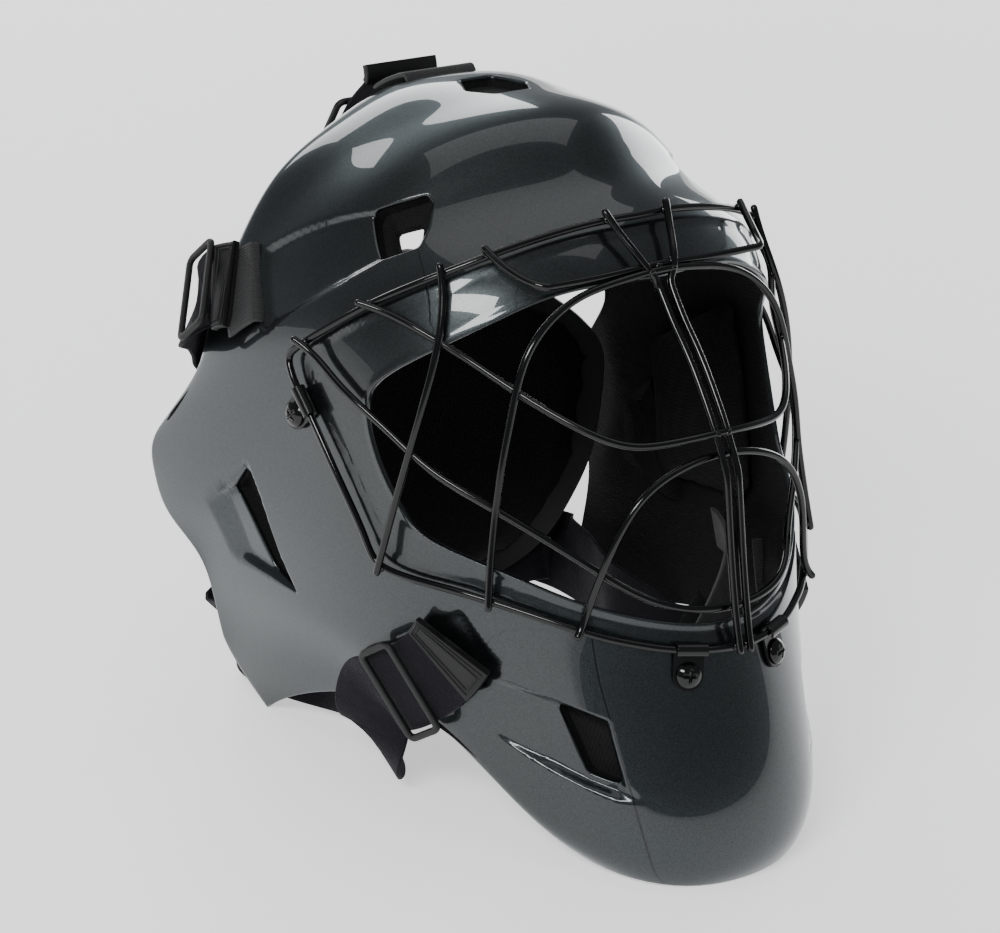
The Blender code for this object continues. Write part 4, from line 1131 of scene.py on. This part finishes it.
def make_clip(name, section, way, down, side):
    """A sheet clip: the profile wraps the wire and runs out as a tab whose half width follows a
    circle round the screw, half = sqrt(w^2 - (x - reach)^2)."""
    spot, run, toward, normal = clip_axes(section, way, down)
    wrap = WIRE_DIAMETER / 2 + CLIP_CLEARANCE + CLIP_SHEET / 2
    turn = np.radians(np.linspace(-315, -90, 28))
    bend = np.stack([wrap * np.cos(turn), wrap * np.sin(turn)], -1)
    half = CLIP_WIDTH / 2
    round_end = CLIP_REACH + half * np.sin(np.linspace(-math.pi / 2, math.pi / 2, 15)) * .995
    tab = np.concatenate([np.linspace(.0008, CLIP_REACH - half, 4)[:-1], round_end])
    line = np.concatenate([bend, np.stack([tab, np.full(len(tab), -wrap)], -1)])
    slope = unit(np.gradient(line, axis=0))
    lift = np.stack([slope[:, 1], -slope[:, 0]], -1) * CLIP_SHEET / 2
    width = np.full(len(line), half)
    width[-8:] = np.sqrt(np.maximum(half ** 2 - (tab[-8:] - CLIP_REACH) ** 2, (.1 * half) ** 2))
    share = np.linspace(-1, 1, 9)
    walls = []
    for sign in (1, -1):
        flat = line + sign * lift
        walls.append(spot + flat[:, None, :1] * toward + flat[:, None, 1:] * normal
                     + (width[:, None] * share)[..., None] * run)
    points, faces = slab(*walls)
    clip = make_piece("dressed_" + name, points * (side, 1, 1), faces, CLIP_STEEL, name,
                      slot="clip_metal")
    soften_edges(clip, .0002, 2)


# A screw's head: points round it, its twist, and the depth of the recess.
HEAD_SIDES = 72
HEAD_TWIST = 0.4
RECESS_DEPTH = 0.0013


def make_screw(name, section, way, down, side):
    """A pan head: height = rise * (1 - .72 r^2.6), less a cross recess that narrows to nothing."""
    spot, _, toward, normal = clip_axes(section, way, down)
    base = spot + toward * CLIP_REACH - normal * FRAME_LIFT
    base = base + normal * (FRAME_LIFT - WIRE_DIAMETER / 2 - CLIP_CLEARANCE + GAP)
    share = np.linspace(.02, 1, 22)[:, None]
    turn = np.linspace(0, 2 * math.pi, HEAD_SIDES, endpoint=False) + HEAD_TWIST
    height = SCREW_HEAD_HEIGHT * np.maximum(1 - share ** 2.6 * .72, 0)
    x, y = share * np.cos(turn), share * np.sin(turn)
    arm = np.maximum(smooth(.16, .08, np.abs(x)) * smooth(.58, .48, np.abs(y)),
                     smooth(.16, .08, np.abs(y)) * smooth(.58, .48, np.abs(x)))
    height = height - RECESS_DEPTH * arm * (1 - share)
    rings = [np.stack([SCREW_HEAD_RADIUS * x, SCREW_HEAD_RADIUS * y, height], -1)]
    for reach, level in ((1.02, .22), (1.02, .04), (.98, 0), (.40, 0), (.40, -.5)):
        across = SCREW_HEAD_RADIUS * reach
        flat = np.full(HEAD_SIDES, SCREW_HEAD_HEIGHT * level)
        rings.append(np.stack([across * np.cos(turn), across * np.sin(turn), flat], -1)[None])
    rings = np.concatenate(rings)
    points = base + rings @ np.array((toward, np.cross(normal, toward), normal))
    last = (len(rings) - 1) * HEAD_SIDES
    faces = grid_quads(len(rings), HEAD_SIDES, wrap_columns=True).tolist()
    faces += [list(range(HEAD_SIDES)), list(range(last, last + HEAD_SIDES))]
    make_piece("dressed_" + name, points * (side, 1, 1), faces, SCREW_STEEL, name, slot="clip_metal",
               sharp=50)


# Straps

def squared(points, across):
    """A strap's run, and its width directions square to it."""
    run = unit(np.gradient(points, axis=0))
    return run, unit(across - run * (across * run).sum(axis=1, keepdims=True))


def plate_point(x, z, lift=0.0):
    """The back plate's inner surface, `lift` to its outside. x and z are in metres."""
    middle = RISE * .05
    x, z = np.broadcast_arrays(np.asarray(x, float), np.asarray(z, float))
    y = PLATE_BACK * REACH - x ** 2 / (2 * PLATE_RADIUS) - (z - middle) ** 2 / (5 * PLATE_RADIUS)
    normal = unit(np.stack([x / PLATE_RADIUS, np.ones_like(y), (z - middle) / (2.5 * PLATE_RADIUS)], -1))
    return np.stack([x, y, z], -1) + np.asarray(lift)[..., None] * normal


def plate_spot(x, z, lift=0.0):
    """The middle of a strap that lies on the back plate's outside."""
    return plate_point(x, z, PLATE_WALL + STRAP_CLEARANCE + STRAP_THICKNESS / 2 + lift)


def side_strap_path(on_rim, free, end):
    """A side strap's middle line and width directions, from its free end to the back plate."""
    on_rim = np.array(on_rim)
    points = list(on_shell(on_rim[:, 0], on_rim[:, 1], on_rim[:, 2]))
    normals = shell_normal(on_rim[:, 0], on_rim[:, 1])
    run = np.gradient(np.array(points), axis=0)
    across = [unit(np.cross(n, r)) for n, r in zip(normals, run)]
    x, z = end[0] * HALF_WIDTH, end[1] * RISE
    upright = unit(plate_point(x, z + .001) - plate_point(x, z - .001))
    upright = upright if across[-1][2] > 0 else -upright
    free = list(scaled(free))
    for count, spot in enumerate(free, 1):
        points.append(spot)
        share = count / (len(free) + 1)
        across.append(unit(across[len(on_rim) - 1] * (1 - share) + upright * share))
    for ahead, lift in ((.012, .0030), (.004, .0012), (-.004, .0003), (-.012, 0)):
        points.append(plate_spot(x + ahead, z, lift))
        across.append(upright)
    return np.array(points), np.array(across)


def resampled(points, across, step):
    """A smooth strap through the given points, with a point every `step`."""
    weights = spline_weights(len(points), np.linspace(0, len(points) - 1, 20 * len(points)))
    return spaced(weights @ points, step, weights @ across)


STRAP_CORNER = 0.0008


def ribbon(name, points, across, width, finish, soft=0.0):
    """A strap: a rounded-box profile carried along its path, with ends that round off."""
    run, across = squared(points, across)
    face = np.cross(run, across)
    sizes = np.ones((len(points), 2))
    end = np.minimum(np.arange(len(points)), np.arange(len(points))[::-1])
    sizes[:, 1] = np.clip(.55 + .45 * np.minimum(end / 2, 1), 0, 1)
    sizes[:, 0] = 1 - .012 * (end == 0)
    loop = rounded_box_loop(width, STRAP_THICKNESS, STRAP_CORNER)
    if soft:
        loop[:, 1] *= 1 - soft * (np.abs(loop[:, 0]) / (width / 2)) ** 4
    made, faces = sweep(points, across, face, loop, sizes)
    along = lengths_along(points)
    uv = np.stack(np.broadcast_arrays(along[:, None], loop[None, :, 0]), -1)
    make_piece("dressed_" + name, made, faces, finish, name, uv=uv, slot="webbing")


def ring_frame(points, across, where, outward):
    """A ring's middle and axes: it lies on a strap at one of its points."""
    run, across = squared(points, across)
    near = [where - 1, where + 1]
    run = unit(points[where + 1] - points[where - 1])
    wide = across[near].mean(axis=0)
    wide = unit(wide - run * wide.dot(run))
    face = np.cross(run, wide)
    if face.dot(outward) < 0:
        wide, face = -wide, -face
    edges = [points[near] + turned * across[near] * STRAP_WIDTH / 2 for turned in (-1, 0, 1)]
    highest = ((np.concatenate(edges) - points[where]) @ face).max()
    centre = points[where] + face * (highest + STRAP_THICKNESS / 2 + RING_LIFT + RING_BAR * .4)
    return centre, run, wide, face


def make_ring(name, points, across, where, outward, side):
    """A rectangular ring: a rounded bar carried round a rectangle with rounded corners."""
    centre, run, wide, face = ring_frame(points, across, where, outward)
    half_long = STRAP_WIDTH / 2 + RING_BAR / 2 + GAP * 2
    half_wide = (RING_REACH - RING_BAR) / 2
    path = rounded_box_loop(2 * half_wide, 2 * half_long, .0028, 6)
    dense = np.concatenate([path, path[:1]])
    flat = spaced(np.concatenate([dense, np.zeros((len(dense), 1))], axis=1), .0008)[:-1, :2]
    line = centre + flat[:, :1] * run + flat[:, 1:] * wide
    ahead = unit(np.roll(line, -1, 0) - np.roll(line, 1, 0))
    out = np.repeat(face[None], len(line), 0)
    side_way = unit(np.cross(ahead, out))
    loop = rounded_box_loop(RING_BAR, RING_BAR * .8, .0009, 3)
    made = line[:, None] + loop[None, :, :1] * side_way[:, None] + loop[None, :, 1:] * out[:, None]
    faces = grid_quads(len(line), len(loop), True, True).tolist()
    make_piece("dressed_" + name, made * (side, 1, 1), faces, PLASTIC, name, slot="buckle_plastic")


def make_anchor(name, slot, end, side):
    """A short webbing through a slot in the shell, which holds the strap's ring."""
    spot, normal = shell_point(*slot), shell_normal(*slot)
    ahead = shell_point(*end) - spot
    ahead = unit(ahead - normal * ahead.dot(normal))
    wide = np.cross(normal, ahead)
    lift = STRAP_CLEARANCE + STRAP_THICKNESS / 2
    points = [spot - normal * (SHELL_WALL + .0040), spot - normal * .0005,
              spot + normal * lift + ahead * .0012]
    for share in np.linspace(.25, 1, 5):
        where = np.array(slot) * (1 - share) + np.array(end) * share
        points.append(on_shell(*where, lift))
    turn = np.array((side, 1, 1))
    points = spaced(np.array(points), .001)
    ribbon(name, points * turn, np.tile(wide * turn, (len(points), 1)), STRAP_WIDTH, WEBBING)


# A label's border: how far in its two ridges lie, and their radius.
LABEL_INSETS = (0.0010, 0.0024)
LABEL_RIDGE = 0.00045


def make_label(name, points, across, side, count=9):
    """A rubber label band at a strap's free end, with a raised border."""
    _, across = squared(points, across)
    path = points[:count] * (side, 1, 1)
    wide = across[:count] * (side, 1, 1)
    loop = rounded_box_loop(STRAP_WIDTH * 1.02, STRAP_THICKNESS + .0012, .0007)
    fold = np.cross(unit(np.gradient(path, axis=0)), wide)
    shapes = [sweep(path, wide, fold, loop)]
    outside = np.sign((fold * outward_hint(path)).sum(axis=1, keepdims=True))
    top = path + fold * (STRAP_THICKNESS / 2 + .0006) * outside
    for skip, inset in enumerate(LABEL_INSETS, 1):
        rows = slice(skip, count - skip)
        reach = wide[rows] * (STRAP_WIDTH / 2 - inset)
        border = np.concatenate([top[rows] + reach, (top[rows] - reach)[::-1]])
        border = spaced(np.concatenate([border, border[:1]]), .0008)[:-1]
        shapes.append(tube(border, outward_hint(border), LABEL_RIDGE, sides=8, closed=True))
    make_piece(name, *joined(shapes), RUBBER, slot="webbing")


def make_straps():
    """The five straps with their labels, rings and anchors."""
    for name, (on_rim, free, end) in STRAPS.items():
        path = side_strap_path(on_rim, free, end)
        coarse = resampled(*path, STRAP_STEP)
        fine = resampled(*path, FINE_STEP)
        ring, anchor = name.replace("strap", "ring"), name.replace("strap", "anchor")
        outward = shell_normal(on_rim[1][0], on_rim[1][1])
        for side_name, side in SIDES:
            turn = np.array((side, 1, 1))
            ribbon(f"{name}_{side_name}", fine[0] * turn, fine[1] * turn, STRAP_WIDTH, VELVET, soft=.25)
            make_label(f"{name}_label_{side_name}", *fine, side)
            make_anchor(f"{anchor}_{side_name}", *ANCHORS[anchor], side)
            make_ring(f"{ring}_{side_name}", *coarse, RING_SPOTS[name], outward, side)
    end_x, end_z = TOP_STRAP_END
    ends = [plate_spot(end_x, end_z * RISE + ahead) for ahead in (.010, -.008)]
    points = np.array([*scaled(TOP_STRAP), *ends])
    path = points, np.tile((1.0, 0, 0), (len(points), 1))
    fine = resampled(*path, FINE_STEP)
    ribbon("top_strap", *fine, STRAP_WIDTH, VELVET, soft=.25)
    make_label("top_strap_label", *fine, 1, count=6)
    make_ring("top_ring", *resampled(*path, STRAP_STEP), RING_SPOTS["top_strap"], np.array((0, 1, 1)), 1)
    make_anchor("top_anchor", *TOP_ANCHOR, 1)


# Pads and plate

# How solid a pad is, and the pressure, frames and mass of the simulation that plumps it.
PAD_PRESSURE = 2.5
PAD_FRAMES = 20
PAD_MASS = 0.1

# Before a pad is plumped: how far its outer face and the edge of its inner face lie from their
# wall, past the gap, and how much less than the pad's thickness its middle rises past that edge.
PAD_FACE = 0.0008
PAD_EDGE = 0.0030
PAD_SPARE = 0.0060


def pillow(name, inner_side, outer_side, stands_for, cap=.003, voxel=.0035):
    """A foam pad with a knitted cover. A slab between two grids is drawn in a little, remeshed,
    blown up by a cloth simulation, and held within `cap` of where it started."""
    pad = make_piece(name, *slab(inner_side, outer_side), KNIT, stands_for, slot="foam", sharp=180)
    bpy.context.view_layer.objects.active = pad
    remesh = pad.modifiers.new("even", "REMESH")
    remesh.mode = "VOXEL"
    remesh.voxel_size = voxel
    apply_modifiers(pad)
    before = mesh_points(pad)
    cloth = pad.modifiers.new("plump", "CLOTH")
    cloth.settings.use_pressure = True
    cloth.settings.uniform_pressure_force = PAD_PRESSURE
    cloth.settings.effector_weights.gravity = 0
    cloth.settings.mass = PAD_MASS
    cloth.point_cache.frame_start = 1
    cloth.point_cache.frame_end = PAD_FRAMES
    scene = bpy.context.scene
    for step in range(1, PAD_FRAMES + 1):
        scene.frame_set(step)
    apply_modifiers(pad)
    scene.frame_set(1)
    moved = mesh_points(pad) - before
    length = np.linalg.norm(moved, axis=1, keepdims=True)
    after = before + moved * np.minimum(1, cap / np.maximum(length, 1e-9))
    pad.data.vertices.foreach_set("co", after.ravel())
    soften = pad.modifiers.new("soften", "SMOOTH")
    soften.iterations = 8
    finer = pad.modifiers.new("finer", "SUBSURF")
    finer.levels = 1
    finer.render_levels = 1
    apply_modifiers(pad)
    for polygon in pad.data.polygons:
        polygon.material_index = 0
    pad.data.shade_smooth()


def mesh_points(piece):
    """A mesh's points as an array."""
    found = np.empty(len(piece.data.vertices) * 3)
    piece.data.vertices.foreach_get("co", found)
    return found.reshape(-1, 3)


def apply_modifiers(piece):
    """Leave a piece with the mesh that its modifiers make."""
    graph = bpy.context.evaluated_depsgraph_get()
    mesh = bpy.data.meshes.new_from_object(piece.evaluated_get(graph))
    piece.modifiers.clear()
    old = piece.data
    piece.data = mesh
    if not mesh.materials and old.materials:
        mesh.materials.append(old.materials[0])


def make_pads():
    """The pads inside the shell: slabs along it, drawn in at their edges."""
    share = np.linspace(0, 1, 17)
    rows, columns = share[:, None], share[None]
    crown = (np.sin(math.pi * rows) * np.sin(math.pi * columns)) ** .35
    for name, (low, high, near, far, thickness) in PADS.items():
        sections = low + (high - low) * (.03 + .94 * rows)
        ways = near + (far - near) * (.03 + .94 * columns)
        spots = np.broadcast_arrays(sections, ways)
        wall = -SHELL_WALL - PAD_GAP
        outer = on_shell(*spots, np.full(crown.shape, wall - PAD_FACE))
        inner = on_shell(*spots, wall - PAD_EDGE - (thickness - PAD_SPARE) * crown)
        for side_name, side in SIDES if near > 0 else ((None, 1),):
            node = f"{name}_{side_name}" if side_name else name
            pillow("dressed_" + node, inner * (side, 1, 1), outer * (side, 1, 1), node)


def plate_grid(inset=0.0, columns=7, rows=10):
    """x and z over the whole plate, `inset` in from its edge."""
    table = np.array(PLATE_ROWS) * (RISE, HALF_WIDTH)
    outline = spline_weights(len(table), np.linspace(0, len(table) - 1, rows)) @ table
    low, high = outline[0, 0] + inset, outline[-1, 0] - inset
    z = low + (outline[:, 0] - outline[0, 0]) * (high - low) / (outline[-1, 0] - outline[0, 0])
    half = outline[:, 1] - inset
    x = half[:, None] * np.linspace(-1, 1, 2 * columns - 1)[None]
    return x, np.broadcast_to(z[:, None], x.shape)


def make_plate():
    """The hard plate behind the head and its pad."""
    x, z = plate_grid(columns=40, rows=90)
    inner, outer = plate_point(x, z), plate_point(x, z, PLATE_WALL)
    plate = make_piece("dressed_back_plate", *slab(inner, outer), PLASTIC, "back_plate",
                       slot="hard_plastic")
    soften_edges(plate, .0010, 3)
    x, z = plate_grid(inset=.0035, columns=16, rows=32)
    rows = np.linspace(0, 1, x.shape[0])[:, None]
    columns = np.linspace(0, 1, x.shape[1])[None]
    crown = (np.sin(math.pi * rows) * np.sin(math.pi * columns)) ** .3
    inner = plate_point(x, z, -PAD_GAP - .0025 - (PLATE_PAD_THICKNESS - .0050) * crown)
    pillow("dressed_back_pad", inner, plate_point(x, z, -PAD_GAP - .0006), "back_pad", cap=.0025)


def make_chin_strap():
    """The strap under the chin, from wall to wall, with its padded cup."""
    half = scaled(CHIN_STRAP_ROUTE)
    line = spaced(smooth_line(np.concatenate([half, flip_x(half[-2::-1])]), 300), FINE_STEP)
    across = np.tile((0, .25, 1.0), (len(line), 1))
    ribbon("chin_strap", line, across, CHIN_STRAP_WIDTH, WEBBING)
    part = line[abs(line[:, 0]) < (CHIN_CUP_REACH - .02) * HALF_WIDTH]
    part = part + (0, STRAP_THICKNESS / 2 + CHIN_CUP_CLEARANCE + CHIN_CUP_THICKNESS / 2, 0)
    run, wide = squared(part, across[:len(part)])
    face = np.cross(run, wide)
    share = np.linspace(-1, 1, 13)[None, :, None]
    ends = np.linspace(-1, 1, len(part))[:, None, None]
    crown = ((1 - ends ** 4) * (1 - share ** 4)) ** .5
    flat = part[:, None] + wide[:, None] * share * (CHIN_STRAP_WIDTH * .72)
    thick = (CHIN_CUP_THICKNESS / 2 - .0008) * (.35 + .65 * crown)
    rise = face[:, None] * thick
    pillow("dressed_chin_cup", flat + rise, flat - rise, "chin_cup", cap=.0010, voxel=.0018)


# Floor, light and camera

def turned(vector):
    """A direction of the worn pose, as the mask rests."""
    return at_rest(vector) - np.array(REST_SHIFT)


def aim_matrix(place, back, right):
    """The matrix of a camera or lamp from its place, back and right directions."""
    back = unit(back)
    right = unit(np.asarray(right) - back * np.dot(back, right))
    matrix = Matrix.Identity(4)
    for column, axis in enumerate((right, np.cross(back, right), back, place)):
        for row in range(3):
            matrix[row][column] = float(axis[row])
    return matrix


def make_camera():
    """The camera at the photograph's angle."""
    lens = bpy.data.cameras.new("photo_camera")
    lens.lens = CAMERA_LENS
    lens.sensor_width = 36
    lens.clip_end = 50
    camera = bpy.data.objects.new("photo_camera", lens)
    bpy.context.scene.collection.objects.link(camera)
    place = at_rest(np.array(CAMERA_AIM) + CAMERA_DISTANCE * unit(CAMERA_BACK))
    camera.matrix_world = aim_matrix(place, turned(CAMERA_BACK), turned(CAMERA_RIGHT))
    bpy.context.scene.camera = camera


FLOOR_GLOW = 0.78
ROOM_LIGHT = 0.27

# Columns: azimuth and elevation in degrees, distance and size in metres, power in watts.
SOFT_BOXES = {
    "key_box": (-62, 38, 2.0, (.9, .40), 26),
    "top_box": (150, 78, 2.6, (2.8, 2.2), 18),
    "rear_box": (168, 24, 2.2, (1.6, .7), 20),
    "right_box": (112, 8, 2.2, (.9, .9), 14),
}


def soft_box(name, azimuth, elevation, distance, size, power):
    """A rectangular lamp that faces the mask. Azimuth 0 is in front of it (-Y), 90 at its left."""
    lamp = bpy.data.lights.new(name, "AREA")
    lamp.shape = "RECTANGLE"
    lamp.size, lamp.size_y = size
    lamp.energy = power
    made = bpy.data.objects.new(name, lamp)
    bpy.context.scene.collection.objects.link(made)
    a, e = math.radians(azimuth), math.radians(elevation)
    back = np.array((math.sin(a) * math.cos(e), -math.cos(a) * math.cos(e), math.sin(e)))
    made.matrix_world = aim_matrix(back * distance + (0, 0, .12), back, (math.cos(a), math.sin(a), 0))


def make_studio():
    """A white floor, a dim room and soft boxes."""
    mesh = bpy.data.meshes.new("floor")
    mesh.from_pydata([(-9, -9, 0), (9, -9, 0), (9, 9, 0), (-9, 9, 0)], [], [(0, 1, 2, 3)])
    finish = Finish("pale_floor")
    base = finish.mix(finish.noise(3, 2), (.92, .92, .92), (.94, .94, .94))
    mesh.materials.append(finish.surface(Base_Color=base, Roughness=.6, Emission_Color=(1, 1, 1),
                                         Emission_Strength=FLOOR_GLOW))
    floor = bpy.data.objects.new("floor", mesh)
    bpy.context.scene.collection.objects.link(floor)
    world = bpy.data.worlds.new("studio")
    world.use_nodes = True
    background = world.node_tree.nodes["Background"].inputs
    background["Color"].default_value = (.86, .90, .93, 1)
    background["Strength"].default_value = ROOM_LIGHT
    bpy.context.scene.world = world
    for name, placed in SOFT_BOXES.items():
        soft_box(name, *placed)


make_shell()
make_cage()
for clip_name, clip_place in CLIPS.items():
    for side_name, side in SIDES:
        make_clip(f"clip_{clip_name}_{side_name}", *clip_place, side)
        make_screw(f"screw_{clip_name}_{side_name}", *clip_place, side)
make_straps()
make_pads()
make_plate()
make_chin_strap()
make_studio()
make_camera()
